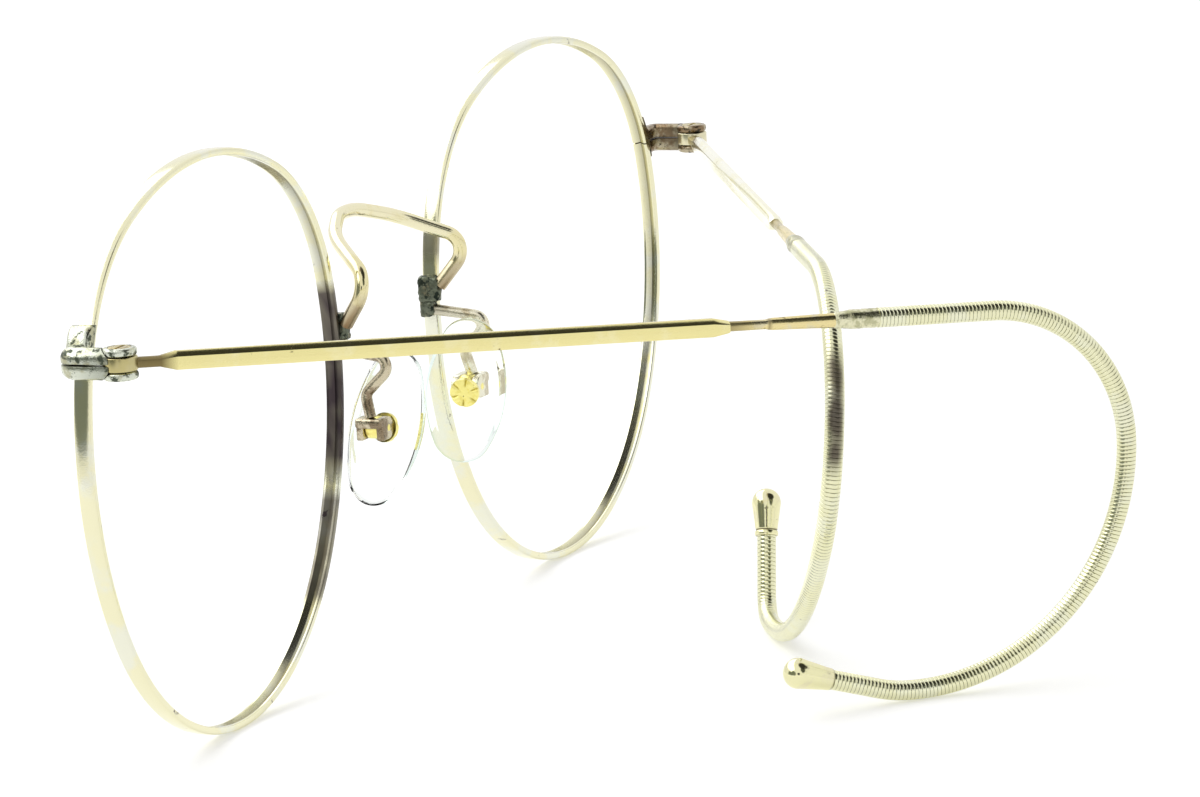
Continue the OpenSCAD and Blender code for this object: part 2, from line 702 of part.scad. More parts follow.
module temple_tip(fold, fall, lean, curl) {
    neck_r = collar_r - turn_depth;
    ball_x = tip_l - tip_r;
    color(brass) in_curl_plane(fold, fall, lean)
        translate(place(curl, winding_end(curl))) rotate([0, 0, last_turn(curl)])
            rotate([0, 90, 0]) difference() {
                union() {
                    cylinder(r = collar_r, h = collar_l / 2);
                    cylinder(r = neck_r, h = collar_l);
                    translate([0, 0, collar_l]) cylinder(r1 = neck_r, r2 = tip_r, h = ball_x - collar_l);
                    translate([0, 0, ball_x]) sphere(r = tip_r);
                }
                cylinder(r = core_r + core_clear, h = ball_x + core_clear);
            }
}

left_curl = [left_curl_start, left_curl_r, left_curl_turn, left_curl_run];
right_curl = [right_curl_start, right_curl_r, right_curl_turn, right_curl_run];

// Least gap between stretches of one winding that lie more than a bend apart
function least_gap(curl) =
    let (p = [for (t = [winding_start : 1.5 : winding_end(curl)]) [t, place(curl, t)]])
    min([for (a = p) for (b = p) if (b[0] - a[0] > 12) norm(a[1] - b[1])]) - winding_d;
echo(str("Least gap of the left winding to itself: ", least_gap(left_curl), " mm"));
echo(str("Least gap of the right winding to itself: ", least_gap(right_curl), " mm"));

on(LEFT) rim();  // left_rim
on(RIGHT) rim();  // right_rim
bridge();
on(LEFT) endpiece_upper();  // left_endpiece_upper
on(LEFT) endpiece_lower();  // left_endpiece_lower
on(LEFT) hinge_screw();  // left_hinge_screw
on(RIGHT) endpiece_upper();  // right_endpiece_upper
on(RIGHT) endpiece_lower();  // right_endpiece_lower
on(RIGHT) hinge_screw();  // right_hinge_screw
on(LEFT) pad_arm();  // left_pad_arm
on(LEFT) pad_pin();  // left_pad_pin
on(LEFT) pad_stud();  // left_pad_stud
on(LEFT) pad();  // left_pad
on(RIGHT) pad_arm();  // right_pad_arm
on(RIGHT) pad_pin();  // right_pad_pin
on(RIGHT) pad_stud();  // right_pad_stud
on(RIGHT) pad();  // right_pad
on(LEFT) temple_bar(left_fold, left_fall);  // left_temple_bar
on(LEFT) cable_core(left_fold, left_fall, left_lean, left_curl);  // left_cable_core
on(LEFT) cable_winding(left_fold, left_fall, left_lean, left_curl);  // left_cable_winding
on(LEFT) temple_tip(left_fold, left_fall, left_lean, left_curl);  // left_temple_tip
on(RIGHT) temple_bar(right_fold, right_fall);  // right_temple_bar
on(RIGHT) cable_core(right_fold, right_fall, right_lean, right_curl);  // right_cable_core
on(RIGHT) cable_winding(right_fold, right_fall, right_lean, right_curl);  // right_cable_winding
on(RIGHT) temple_tip(right_fold, right_fall, right_lean, right_curl);  // right_temple_tip
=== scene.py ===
import math

import bmesh
import bpy
from mathutils import Matrix, Vector, noise


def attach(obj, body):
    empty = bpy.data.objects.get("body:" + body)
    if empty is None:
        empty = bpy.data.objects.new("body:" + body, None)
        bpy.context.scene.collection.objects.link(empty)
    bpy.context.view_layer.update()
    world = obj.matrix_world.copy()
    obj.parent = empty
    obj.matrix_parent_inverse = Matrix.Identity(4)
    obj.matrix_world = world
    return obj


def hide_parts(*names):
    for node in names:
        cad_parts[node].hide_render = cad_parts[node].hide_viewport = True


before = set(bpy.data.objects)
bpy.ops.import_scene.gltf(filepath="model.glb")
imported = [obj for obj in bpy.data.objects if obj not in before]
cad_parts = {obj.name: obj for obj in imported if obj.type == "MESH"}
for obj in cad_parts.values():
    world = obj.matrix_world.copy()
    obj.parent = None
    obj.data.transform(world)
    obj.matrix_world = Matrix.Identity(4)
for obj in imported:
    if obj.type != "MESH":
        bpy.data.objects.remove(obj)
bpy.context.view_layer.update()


# Camera
# The picture is taken with a long lens from half a metre away, from the wearer's left and a
# little behind, looking slightly down along the front.
view_azimuth, view_elevation, view_roll = (math.radians(a) for a in (113.856, 10.327, -3.514))
ahead = Vector((-math.sin(view_azimuth) * math.cos(view_elevation),
                math.cos(view_azimuth) * math.cos(view_elevation), -math.sin(view_elevation)))
level = ahead.cross(Vector((0, 0, 1))).normalized()
turned_view = Matrix.Rotation(view_roll, 3, -ahead)
picture_right = turned_view @ level
picture_up = turned_view @ level.cross(ahead)
lens = bpy.data.cameras.new("camera")
lens.sensor_fit = "HORIZONTAL"
lens.sensor_width = 36
lens.lens = 182.745
lens.clip_start = 0.02
camera = bpy.data.objects.new("camera", lens)
camera.matrix_world = Matrix.Translation((0.45828, 0.22173, 0.11229)) @ Matrix(
    (picture_right, picture_up, -ahead)).transposed().to_4x4()
bpy.context.scene.collection.objects.link(camera)
bpy.context.scene.camera = camera


# Rims
# Two thin bands of rolled gold on nickel silver. Rollers crown the outside and press the lens
# groove into the inside. Each band is bent round a former and left open at its endpiece,
# where the hinge screw closes it on the lens.
MM = 0.001
LEFT, RIGHT = 1, -1
sides = ((LEFT, "left"), (RIGHT, "right"))
rim_spacing, rim_wrap = 65.8, math.radians(1.4)
top_r, corner_r, side_r = 33.0, 16.2, 29.8
top_end, corner_end, side_end = (math.radians(a) for a in (24, 77, 121))
band_depth, band_t, groove_depth, groove_w = 1.4, 0.64, 0.3, 0.9
split_turn, split_gap = math.radians(71.4), 0.12


def turned(a):
    """The way outwards from a rim at an angle from its top, in the rim's own plane."""
    return Vector((math.sin(a), 0, math.cos(a)))


bottom_r = side_r - ((side_r - corner_r) * math.sin(corner_end)
                     + (corner_r - top_r) * math.sin(top_end)) / math.sin(side_end)
bottom_c = Vector((0, 0, bottom_r + 0.01))
side_c = bottom_c + (bottom_r - side_r) * turned(side_end)
corner_c = side_c + (side_r - corner_r) * turned(corner_end)
top_c = corner_c + (corner_r - top_r) * turned(top_end)
in_rim = Matrix.Translation((rim_spacing / 2, 0, 0)) @ Matrix.Rotation(rim_wrap, 4, "Z")


def across(point):
    """The same point on the other half of a rim."""
    return Vector((-point.x, point.y, point.z))


def piece(mesh, name, side, body, finish, smooth=40):
    """Makes an object of a mesh in millimetres, on one side of the frame, riding on its body."""
    if side == RIGHT:
        bmesh.ops.scale(mesh, vec=(-1, 1, 1), verts=mesh.verts)
        bmesh.ops.reverse_faces(mesh, faces=mesh.faces)
    bmesh.ops.scale(mesh, vec=(MM, MM, MM), verts=mesh.verts)
    data = bpy.data.meshes.new(name)
    mesh.to_mesh(data)
    mesh.free()
    data.shade_smooth()
    data.set_sharp_from_angle(angle=math.radians(smooth))
    data.materials.append(finish)
    made = bpy.data.objects.new(name, data)
    bpy.context.scene.collection.objects.link(made)
    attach(made, body)
    return made


def fresh_mesh():
    """An empty mesh, and the layer that says how dark each of its corners is painted, for grime and for painted
    shade.
    """
    mesh = bmesh.new()
    return mesh, mesh.verts.layers.float.new("grime_and_painted_shade")


def spun(mesh, ends, centre, axis, angle, step):
    """Spins the open end of a section round a centre, and gives the new end."""
    return bmesh.ops.spin(mesh, geom=ends, cent=centre, axis=axis, angle=angle,
                          steps=max(2, math.ceil(abs(angle) / math.radians(step))))["geom_last"]


def drawn_out(mesh, faces, keep=False):
    """Extrudes an end of a solid without leaving its old face inside, and gives what is new."""
    new = bmesh.ops.extrude_face_region(mesh, geom=faces, use_keep_orig=True)["geom"]
    if not keep:
        bmesh.ops.delete(mesh, geom=faces, context="FACES_ONLY")
    return new


def corners_in(geometry):
    """The corners among what an operator gives back."""
    return [g for g in geometry if isinstance(g, bmesh.types.BMVert)]


def faces_in(geometry):
    """The faces among what an operator gives back."""
    return [g for g in geometry if isinstance(g, bmesh.types.BMFace)]


def round_corners(mesh, corners, by, arcs):
    """Rounds corners of a flat section."""
    bmesh.ops.bevel(mesh, geom=corners, offset=by, segments=arcs, affect="VERTICES", profile=0.5,
                    material=-1, offset_type="OFFSET")


def facing_out(mesh):
    """Joins what touches and turns every face outwards."""
    bmesh.ops.remove_doubles(mesh, verts=mesh.verts, dist=0.0008)
    bmesh.ops.recalc_face_normals(mesh, faces=mesh.faces)


def shared_effect(name, inputs, output):
    """A shader group to be filled: its inputs (a vector where no value is given) and one output."""
    group = bpy.data.node_groups.new(name, "ShaderNodeTree")
    for label, value in inputs.items():
        socket = group.interface.new_socket(
            label, in_out="INPUT", socket_type="NodeSocketVector" if value is None else "NodeSocketFloat")
        if value is not None:
            socket.default_value = value
    group.interface.new_socket(output, in_out="OUTPUT", socket_type="NodeSocketFloat")
    make, join = group.nodes.new, group.links.new
    return group, make, join, make("NodeGroupInput"), make("NodeGroupOutput")


def put(node, **values):
    """Sets a node's inputs by their names."""
    for name, value in values.items():
        node.inputs[name.replace("_", " ")].default_value = value


def worn_patches():
    """Where a skin has worn through: soft-edged patches over a share of the surface."""
    group, make, join, given, result = shared_effect(
        "worn patches", {"Vector": None, "Scale": 300, "Cover": 0.3, "Edge": 0.05}, "Mask")
    cloud = make("ShaderNodeTexNoise")
    put(cloud, Detail=6, Roughness=0.62)
    join(given.outputs["Vector"], cloud.inputs["Vector"])
    join(given.outputs["Scale"], cloud.inputs["Scale"])
    level_at = make("ShaderNodeMapRange")
    put(level_at, From_Min=0, From_Max=1, To_Min=0.72, To_Max=0.28)
    join(given.outputs["Cover"], level_at.inputs["Value"])
    low, high = make("ShaderNodeMath"), make("ShaderNodeMath")
    low.operation, high.operation = "SUBTRACT", "ADD"
    for bound in (low, high):
        join(level_at.outputs[0], bound.inputs[0])
        join(given.outputs["Edge"], bound.inputs[1])
    edge = make("ShaderNodeMapRange")
    edge.interpolation_type = "SMOOTHSTEP"
    join(cloud.outputs["Fac"], edge.inputs["Value"])
    join(low.outputs[0], edge.inputs["From Min"])
    join(high.outputs[0], edge.inputs["From Max"])
    join(edge.outputs[0], result.inputs["Mask"])
    return group


def fine_marks():
    """Handling marks: a height that mixes fine grain with broad shallow dents."""
    group, make, join, given, result = shared_effect(
        "fine marks", {"Vector": None, "Grain": 9000, "Dents": 1200, "Dent Share": 0.6}, "Height")
    grain, dents, both = make("ShaderNodeTexNoise"), make("ShaderNodeTexNoise"), make("ShaderNodeMix")
    put(grain, Detail=3)
    for cloud, size in ((grain, "Grain"), (dents, "Dents")):
        join(given.outputs["Vector"], cloud.inputs["Vector"])
        join(given.outputs[size], cloud.inputs["Scale"])
    join(given.outputs["Dent Share"], both.inputs["Factor"])
    join(grain.outputs["Fac"], both.inputs["A"])
    join(dents.outputs["Fac"], both.inputs["B"])
    join(both.outputs["Result"], result.inputs["Height"])
    return group


worn_patches, fine_marks = worn_patches(), fine_marks()


def metal(name, skin, worn, grime_and_painted_shade, roughness, worn_cover=0.3, grime_cover=0.12, patch=330,
          stretch=(1, 1, 1), bump=0.12, grain=9000, dents=1200, seed=0.0):
    """A plated metal: its skin, the metal or dullness where it has worn, and a dark colour for grime
    and for painted shade in crevices and gaps, which the mesh marks with its own values."""
    finish = bpy.data.materials.new(name)
    finish.use_nodes = True
    tree = finish.node_tree
    make, join = tree.nodes.new, tree.links.new
    shader = tree.nodes["Principled BSDF"]
    put(shader, Metallic=1)
    where, place = make("ShaderNodeTexCoord"), make("ShaderNodeMapping")
    put(place, Location=(seed, seed / 3, seed / 7), Scale=stretch)
    join(where.outputs["Object"], place.inputs["Vector"])
    masks = []
    for scale, cover, edge in ((patch, worn_cover, 0.06), (patch * 2.7, grime_cover, 0.04)):
        mask = make("ShaderNodeGroup")
        mask.node_tree = worn_patches
        put(mask, Scale=scale, Cover=cover, Edge=edge)
        join(place.outputs["Vector"], mask.inputs["Vector"])
        masks.append(mask.outputs["Mask"])
    # the mesh's own values paint real stains and grime, and in places painted shade in crevices and gaps
    grime_and_shade_values, dirt_and_painted_shade = make("ShaderNodeAttribute"), make("ShaderNodeMath")
    grime_and_shade_values.attribute_name = "grime_and_painted_shade"
    dirt_and_painted_shade.operation = "MAXIMUM"
    join(grime_and_shade_values.outputs["Fac"], dirt_and_painted_shade.inputs[0])
    join(masks[1], dirt_and_painted_shade.inputs[1])
    colour = None
    for mask, dark in ((masks[0], worn), (dirt_and_painted_shade.outputs[0], grime_and_painted_shade)):
        mixed = make("ShaderNodeMix")
        mixed.data_type = "RGBA"
        put(mixed, A=(*skin, 1))
        if colour:
            join(colour, mixed.inputs["A"])
        put(mixed, B=(*dark, 1))
        join(mask, mixed.inputs["Factor"])
        colour = mixed.outputs["Result"]
    join(colour, shader.inputs["Base Color"])
    dull = make("ShaderNodeMapRange")
    put(dull, To_Min=roughness, To_Max=roughness + 0.3)
    join(dirt_and_painted_shade.outputs[0], dull.inputs["Value"])
    join(dull.outputs[0], shader.inputs["Roughness"])
    marks, raised = make("ShaderNodeGroup"), make("ShaderNodeBump")
    marks.node_tree = fine_marks
    put(marks, Grain=grain, Dents=dents)
    join(place.outputs["Vector"], marks.inputs["Vector"])
    join(marks.outputs["Height"], raised.inputs["Height"])
    put(raised, Strength=bump, Distance=0.0002)
    join(raised.outputs["Normal"], shader.inputs["Normal"])
    return finish


rim_finish = metal("rim rolled gold", (0.82, 0.79, 0.54), (0.79, 0.79, 0.65), (0.07, 0.055, 0.06),
                   roughness=0.13, worn_cover=0.42, grime_cover=0.07, patch=160, bump=0.06)

for side, hand in sides:
    band, grime_and_painted_shade = fresh_mesh()
    open_at = split_turn + split_gap / 2 / math.sin(split_turn) / corner_r
    half_depth, half_groove = band_depth / 2, groove_w / 2
    section = []
    for inset, deep, dirty in (
            (0.05, -half_depth, 0), (0, -0.28, 0), (0, 0.28, 0), (0.05, half_depth, 0),
            (band_t, half_depth, 0), (band_t, half_groove, 0.04), (band_t - groove_depth, 0, 0.42),
            (band_t, -half_groove, 0.04), (band_t, -half_depth, 0)):
        corner = band.verts.new(corner_c + (corner_r - inset) * turned(open_at) + Vector((0, deep, 0)))
        corner[grime_and_painted_shade] = dirty
        section.append(corner)
    band.faces.new(section)
    round_corners(band, [v for v in section if abs(v.co.y) > 0.5], 0.11, 3)
    end = band.faces[:] + band.edges[:] + band.verts[:]
    turns = ((corner_c, corner_end - open_at), (side_c, side_end - corner_end),
             (bottom_c, 2 * (math.pi - side_end)), (across(side_c), side_end - corner_end),
             (across(corner_c), corner_end - top_end), (top_c, 2 * top_end),
             (corner_c, 2 * split_turn - open_at - top_end))
    for centre, angle in turns:
        end = spun(band, end, centre, (0, 1, 0), angle, 2.5)
    facing_out(band)
    # brazing the bridge has stained the band beside the nose, most of all on the left, where the stains
    # also paint a dark reflection: each stain's height, half its length and its depth
    stains_and_painted_reflections = ((29.8, 2.9, 0.93), (22.2, 6.2, 1), (10.9, 4.4, 0.8)) if side == LEFT else ((32.2, 1.1, 0.6),)
    for v in band.verts:
        if v.co.x < -12:
            v[grime_and_painted_shade] = max([v[grime_and_painted_shade]] + [
                depth * min(1, 5 * max(0, 1 - abs(v.co.z - at) / reach)) * (0.95 + 0.2 * noise.noise(v.co * 1.3))
                for at, reach, depth in stains_and_painted_reflections])
    bmesh.ops.transform(band, matrix=in_rim, verts=band.verts)
    made = piece(band, f"{hand}_rim_band", side, "front", rim_finish, smooth=24)
    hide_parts(f"{hand}_rim")


# Endpieces
# Two worn nickel silver straps a side, one brazed to each end of the split rim. Each is sawn
# and filed from one piece: a seat along the rim, a strap round the corner, and a knuckle.
hinge_out, hinge_back, endpiece_h = 1.9, 4.8, 2.5
strap_t, seat_t, seat_over, seat_over_worn = 1.4, 1.1, 0.4, 0.05
seat_up, seat_down = math.radians(9), math.radians(5.6)
knuckle_r, knuckle_h, knuckle_gap, screw_r, head_r, head_h = 1.35, 1.1, 0.05, 0.55, 0.9, 0.32
on_rim = in_rim @ (corner_c + corner_r * turned(split_turn))
hinge = Vector((on_rim.x + hinge_out, hinge_back, on_rim.z))


def ring(mesh, inner, outer, low, high, round_by, centre):
    """A ring filed from the round: its section, edges softened, spun once round its axis."""
    others = set(mesh.verts)
    corners = [mesh.verts.new((centre.x + r, centre.y, centre.z + z))
               for r, z in ((inner, low), (outer, low), (outer, high), (inner, high))]
    mesh.faces.new(corners)
    round_corners(mesh, corners[1:3], round_by, 3)
    section = [v for v in mesh.verts if v not in others]
    bmesh.ops.delete(mesh, geom=section[0].link_faces[:], context="FACES_ONLY")
    bmesh.ops.spin(mesh, geom=section + list({e for v in section for e in v.link_edges}), cent=centre,
                   axis=(0, 0, 1), angle=math.tau, steps=48, use_merge=True)


def joined(mesh, other):
    """Adds another mesh to a mesh."""
    spare = bpy.data.meshes.new("spare")
    other.to_mesh(spare)
    other.free()
    mesh.from_mesh(spare)
    bpy.data.meshes.remove(spare)


silver_near = metal("endpiece worn silver", (0.66, 0.69, 0.58), (0.46, 0.45, 0.30), (0.09, 0.105, 0.075),
                    roughness=0.15, worn_cover=0.45, grime_cover=0.37, patch=500, bump=0.3, dents=1400)
silver_far = metal("endpiece tarnished silver", (0.46, 0.40, 0.28), (0.24, 0.17, 0.10), (0.05, 0.045, 0.03),
                   roughness=0.2, worn_cover=0.52, grime_cover=0.24, patch=800, bump=0.35, dents=2200, seed=3)

for side, hand in sides:
    for half, part in ((1, "upper"), (-1, "lower")):
        strap, grime_and_painted_shade = fresh_mesh()
        inner_x = hinge.x + knuckle_r - strap_t
        front_y = on_rim.y - band_depth / 2
        low, high = sorted((hinge.z + half * split_gap / 2, hinge.z + half * endpiece_h / 2))
        start_x = on_rim.x + 0.1
        corners = [strap.verts.new((start_x, front_y + y, z)) for y, z in (
            (0, low), (strap_t, low), (strap_t, high), (0, high))]
        strap.faces.new(corners)
        outer, split = (corners[2:], corners[:2]) if half == 1 else (corners[:2], corners[2:])
        shown, hidden = (outer[1], outer[0]) if half == 1 else (outer[0], outer[1])
        for group, round_by, arcs in (([shown], 0.85, 9), ([hidden], 0.4, 4), (split, 0.09, 2)):
            round_corners(strap, group, round_by, arcs)
        bmesh.ops.subdivide_edges(strap, edges=[e for e in strap.edges if e.calc_length() > 0.8], cuts=7)
        run = drawn_out(strap, strap.faces[:], keep=True)
        bmesh.ops.translate(strap, vec=(inner_x - start_x, 0, 0), verts=corners_in(run))
        run = spun(strap, run, (inner_x, front_y + strap_t, 0), (0, 0, 1), math.pi / 2, 7)
        tail = corners_in(drawn_out(strap, faces_in(run)))
        for v in tail:
            reach = knuckle_r + knuckle_gap
            v.co.y = hinge.y - math.sqrt(max(reach ** 2 - (v.co.x - hinge.x) ** 2, 0.0))
        facing_out(strap)
        # painted shade: the strap is darkened along the split between its halves, and at its tail, in the gap before
        # the knuckle
        for v in strap.verts:
            v[grime_and_painted_shade] = 0.5 if v in tail else max(0, 1 - abs(v.co.z - hinge.z) / 0.2) * 0.8

        turn_from, turn_to = ((split_turn - seat_up, split_turn) if half == 1
                              else (split_turn, split_turn + seat_down))
        seat, grime_and_painted_shade = fresh_mesh()
        lap = seat_over if side == LEFT else seat_over_worn
        corners = [seat.verts.new(corner_c + (corner_r + out) * turned(turn_from) + Vector((0, y, 0)))
                   for out, y in ((0, -band_depth / 2 - lap), (seat_t, -band_depth / 2 - lap),
                                  (seat_t, band_depth / 2 + lap / 2), (0, band_depth / 2 + lap / 2))]
        seat.faces.new(corners)
        round_corners(seat, corners[1:3], 0.48, 6)
        spun(seat, seat.faces[:] + seat.edges[:] + seat.verts[:], corner_c, (0, 1, 0), turn_to - turn_from, 1)
        facing_out(seat)
        # a seat's end thins away into the rim, and the right ones are worn almost flush
        for v in seat.verts:
            way = v.co - corner_c
            turn = math.atan2(way.x, way.z)
            out = math.hypot(way.x, way.z) - corner_r
            from_split = abs(turn - split_turn) / abs(turn_to - turn_from)
            thin = (min(1, max(0, (1 - from_split) / 0.4)) ** 0.5 if side == LEFT
                    else max(0, 0.34 - 0.34 * from_split))
            v.co = corner_c + (corner_r + out * (0.12 + 0.88 * thin)) * turned(turn) + Vector((0, v.co.y, 0))
            # painted shade: the seat is darkened at its foot, where it meets the rim
            v[grime_and_painted_shade] = max(0, 1 - out / 0.12) * 0.5
        bmesh.ops.transform(seat, matrix=in_rim, verts=seat.verts)
        joined(strap, seat)

        knuckle = bmesh.new()
        inside = knuckle_h / 2 + knuckle_gap
        if half == 1:
            ring(knuckle, head_r + 0.03, knuckle_r, inside, endpiece_h / 2, 0.24, hinge)
        else:
            ring(knuckle, screw_r + 0.02, knuckle_r, -endpiece_h / 2, -inside, 0.24, hinge)
        facing_out(knuckle)
        joined(strap, knuckle)
        made = piece(strap, f"{hand}_endpiece_{part}_half", side, "front",
                     silver_near if side == LEFT else silver_far, smooth=32)
        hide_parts(f"{hand}_endpiece_{part}")


# Hinge screws
# One turned brass screw a side, let in flush with the upper knuckle. Its slot is sawn across
# the head, and its end is filed level below.
screw_finish = metal("screw brass", (0.62, 0.52, 0.22), (0.38, 0.30, 0.14), (0.05, 0.04, 0.02),
                     roughness=0.24, worn_cover=0.45, grime_cover=0.2, patch=1500, bump=0.2)

slot_w, slot_deep, slot_margin = 0.28, 0.16, 0.1

for side, hand in sides:
    screw = fresh_mesh()[0]
    top = hinge.z + endpiece_h / 2
    bmesh.ops.create_circle(screw, cap_ends=True, radius=head_r, segments=48,
                            matrix=Matrix.Translation((hinge.x, hinge.y, top)))
    walls = screw.faces[:]
    for radius, z in ((head_r, top - head_h), (screw_r, top - head_h), (screw_r, hinge.z - endpiece_h / 2)):
        down = drawn_out(screw, walls, keep=len(screw.faces) == 1)
        walls = faces_in(down)
        for v in corners_in(down):
            way = (v.co - hinge).xy.normalized() * radius
            v.co = (hinge.x + way.x, hinge.y + way.y, z)
    facing_out(screw)
    for along, offset in (((0, 1, 0), slot_w / 2), ((1, 0, 0), head_r - slot_margin)):
        for end in (-offset, offset):
            level_faces = [f for f in screw.faces if f.normal.z > 0.9]
            bmesh.ops.bisect_plane(screw, geom=level_faces + screw.edges[:] + screw.verts[:],
                                   plane_co=hinge + end * Vector(along), plane_no=along, dist=0.0001)
    slot = []
    for f in screw.faces:
        from_axis = f.calc_center_median() - Vector((hinge.x, hinge.y, top))
        if (f.normal.z > 0.9 and from_axis.z > -0.001 and abs(from_axis.y) < slot_w / 2 - 0.01
                and abs(from_axis.x) < head_r - slot_margin - 0.01):
            slot.append(f)
    bmesh.ops.translate(screw, vec=(0, 0, -slot_deep), verts=corners_in(drawn_out(screw, slot)))
    bmesh.ops.bevel(screw, geom=[e for e in screw.edges if e.is_manifold and e.calc_face_angle(0) > 0.7
                                 and e.verts[0].co.z > top - 0.01 and e.verts[1].co.z > top - 0.01],
                    offset=0.035, segments=2, affect="EDGES", profile=0.5, material=-1)
    made = piece(screw, f"{hand}_screw_slotted", side, "front", screw_finish, smooth=35)
    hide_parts(f"{hand}_hinge_screw")


# Bridge
# One wire of pale gold, bent back over the pads and forward over the nose. Its feet are
# brazed to the rims with blocks of dark solder, and the heat has stained them rose.
bridge_d, bridge_turn, foot_back = 1.2, math.radians(85.5), 0.6
knee_rise, knee_back, knee_out, knee_r = 4, 4, 0.8, 1.9
shoulder_rise, shoulder_front, shoulder_in, shoulder_r = 7, 1.2, 3.8, 7
crest_rise, crest_front, crest_half_w, crest_r = 8.2, 2.75, 1.6, 6
solder_h, solder_w = 2.2, 1.05
foot = in_rim @ across(side_c + side_r * turned(bridge_turn))
foot_at = foot - Vector((solder_w - band_depth / 2, 0, 0))


def bend_wire(mesh, corners, radii, thick, sides=24, step=6):
    """Runs a round wire through its corners, bent to a radius at each, and closes its ends."""
    corners = [Vector(c) for c in corners]
    way = (corners[1] - corners[0]).normalized()
    start = Matrix.Translation(corners[0]) @ way.to_track_quat("Z", "Y").to_matrix().to_4x4()
    bmesh.ops.create_circle(mesh, cap_ends=True, radius=thick / 2, segments=sides, matrix=start)
    ring_now = [v for v in mesh.verts if abs((v.co - corners[0]).length - thick / 2) < 0.001]
    faces = [f for f in mesh.faces if all(v in ring_now for v in f.verts)]
    at = corners[0]
    for i in range(1, len(corners)):
        last = i == len(corners) - 1
        reach = 0
        if not last:
            next_way = (corners[i + 1] - corners[i]).normalized()
            turn = way.angle(next_way)
            reach = radii[i] * math.tan(turn / 2)
        to = corners[i] - way * reach
        moved = drawn_out(mesh, faces, keep=i == 1)
        bmesh.ops.translate(mesh, vec=to - at, verts=corners_in(moved))
        if not last:
            axis = way.cross(next_way).normalized()
            centre = to + axis.cross(way) * radii[i]
            moved = spun(mesh, moved, centre, axis, turn, step)
            way, at = next_way, corners[i] + next_way * reach
        faces = faces_in(moved)


def solder_lump(mesh, low, high, rough, seed):
    """A run of hard solder: a block with rounded corners, gone lumpy as it set."""
    low, high = Vector(low), Vector(high)
    lump = bmesh.ops.create_cube(mesh, size=1, matrix=Matrix.Translation((low + high) / 2)
                                 @ Matrix.Diagonal((*(high - low), 1)))["verts"]
    edges = list({e for v in lump for e in v.link_edges})
    bmesh.ops.subdivide_edges(mesh, edges=edges, cuts=7, use_grid_fill=True)
    near = [v for v in mesh.verts if all(low[i] - 0.001 <= v.co[i] <= high[i] + 0.001 for i in range(3))]
    for _ in range(6):
        bmesh.ops.smooth_vert(mesh, verts=near, factor=0.5, use_axis_x=True, use_axis_y=True, use_axis_z=True)
    for v in near:
        v.co += v.normal * rough * noise.fractal(v.co * 1.7 + Vector((seed, 0, 0)), 1.0, 2.0, 3)


bridge_finish = metal("bridge pale gold", (0.83, 0.78, 0.54), (0.78, 0.71, 0.42), (0.25, 0.155, 0.075),
                      roughness=0.12, worn_cover=0.35, grime_cover=0.06, patch=260, bump=0.06)
solder_finish = metal("dark solder", (0.13, 0.145, 0.105), (0.30, 0.27, 0.17), (0.03, 0.04, 0.03),
                      roughness=0.3, worn_cover=0.3, grime_cover=0.42, patch=620, bump=0.45, dents=1700)

wire, grime_and_painted_shade = fresh_mesh()
half_wire = [foot_at + Vector((0, foot_back + 0.5, 0.25)), foot + Vector((knee_out, knee_back, knee_rise)),
             foot + Vector((-shoulder_in, -shoulder_front, shoulder_rise)),
             Vector((crest_half_w, foot.y - crest_front, foot.z + crest_rise))]
half_bends = [0, knee_r, shoulder_r, crest_r]
bend_wire(wire, half_wire + [across(p) for p in reversed(half_wire)], half_bends + half_bends[::-1], bridge_d)
facing_out(wire)
for v in wire.verts:
    v[grime_and_painted_shade] = max(0, min(1, 1.55 - (v.co.z - foot.z) / 2.1)) * (0.75 + 0.5 * noise.noise(v.co * 2))
made = piece(wire, "bridge_wire", LEFT, "front", bridge_finish)
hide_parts("bridge")

arm_solder_h = 1.3
for side, hand in sides:
    lumps = fresh_mesh()[0]
    solder_lump(lumps, (foot_at.x - 0.72, foot_at.y - 0.74, foot.z - solder_h / 2),
                (foot.x + 0.12, foot_at.y + 1.2, foot.z + solder_h / 2), 0.16, 3 * side)
    facing_out(lumps)
    made = piece(lumps, f"{hand}_bridge_solder", side, "front", solder_finish, smooth=80)
    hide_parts("bridge")


# Pad arms, pins and studs
# Each arm is a thin wire brazed under the bridge's foot, looped back and brought forward to a
# small box of two cheeks. A brass pin through the cheeks holds the ear of the pad's stud.
pin = Vector((9.5, 2.7, 20.1))
pin_r, cheek_r, cheek_t, ear_t, ear_gap, web_t = 0.36, 0.95, 0.65, 1.1, 0.05, 0.5
arm_d, arm_reach, arm_rise, arm_bend_r = 0.95, 2.6, 5.8, 0.9
box_w = ear_t + 2 * ear_gap + 2 * cheek_t
filed = 0.012
web_x = cheek_r + ear_gap
arm_finish = metal("pad arm tarnished gold", (0.60, 0.53, 0.38), (0.26, 0.20, 0.13), (0.06, 0.05, 0.035),
                   roughness=0.18, worn_cover=0.5, grime_cover=0.14, patch=600, bump=0.3)
pale_arm_finish = metal("pad arm pale gold", (0.80, 0.76, 0.60), (0.56, 0.49, 0.34), (0.09, 0.07, 0.045),
                        roughness=0.2, worn_cover=0.35, grime_cover=0.08, patch=600, bump=0.3)
brass_finish = metal("stud brass", (0.98, 0.87, 0.30), (0.90, 0.77, 0.20), (0.24, 0.19, 0.04),
                     roughness=0.28, worn_cover=0.35, grime_cover=0.08, patch=1300, bump=0.2)
pad_pitch, pad_lean, pad_splay = (math.radians(a) for a in (12, 9, 12))
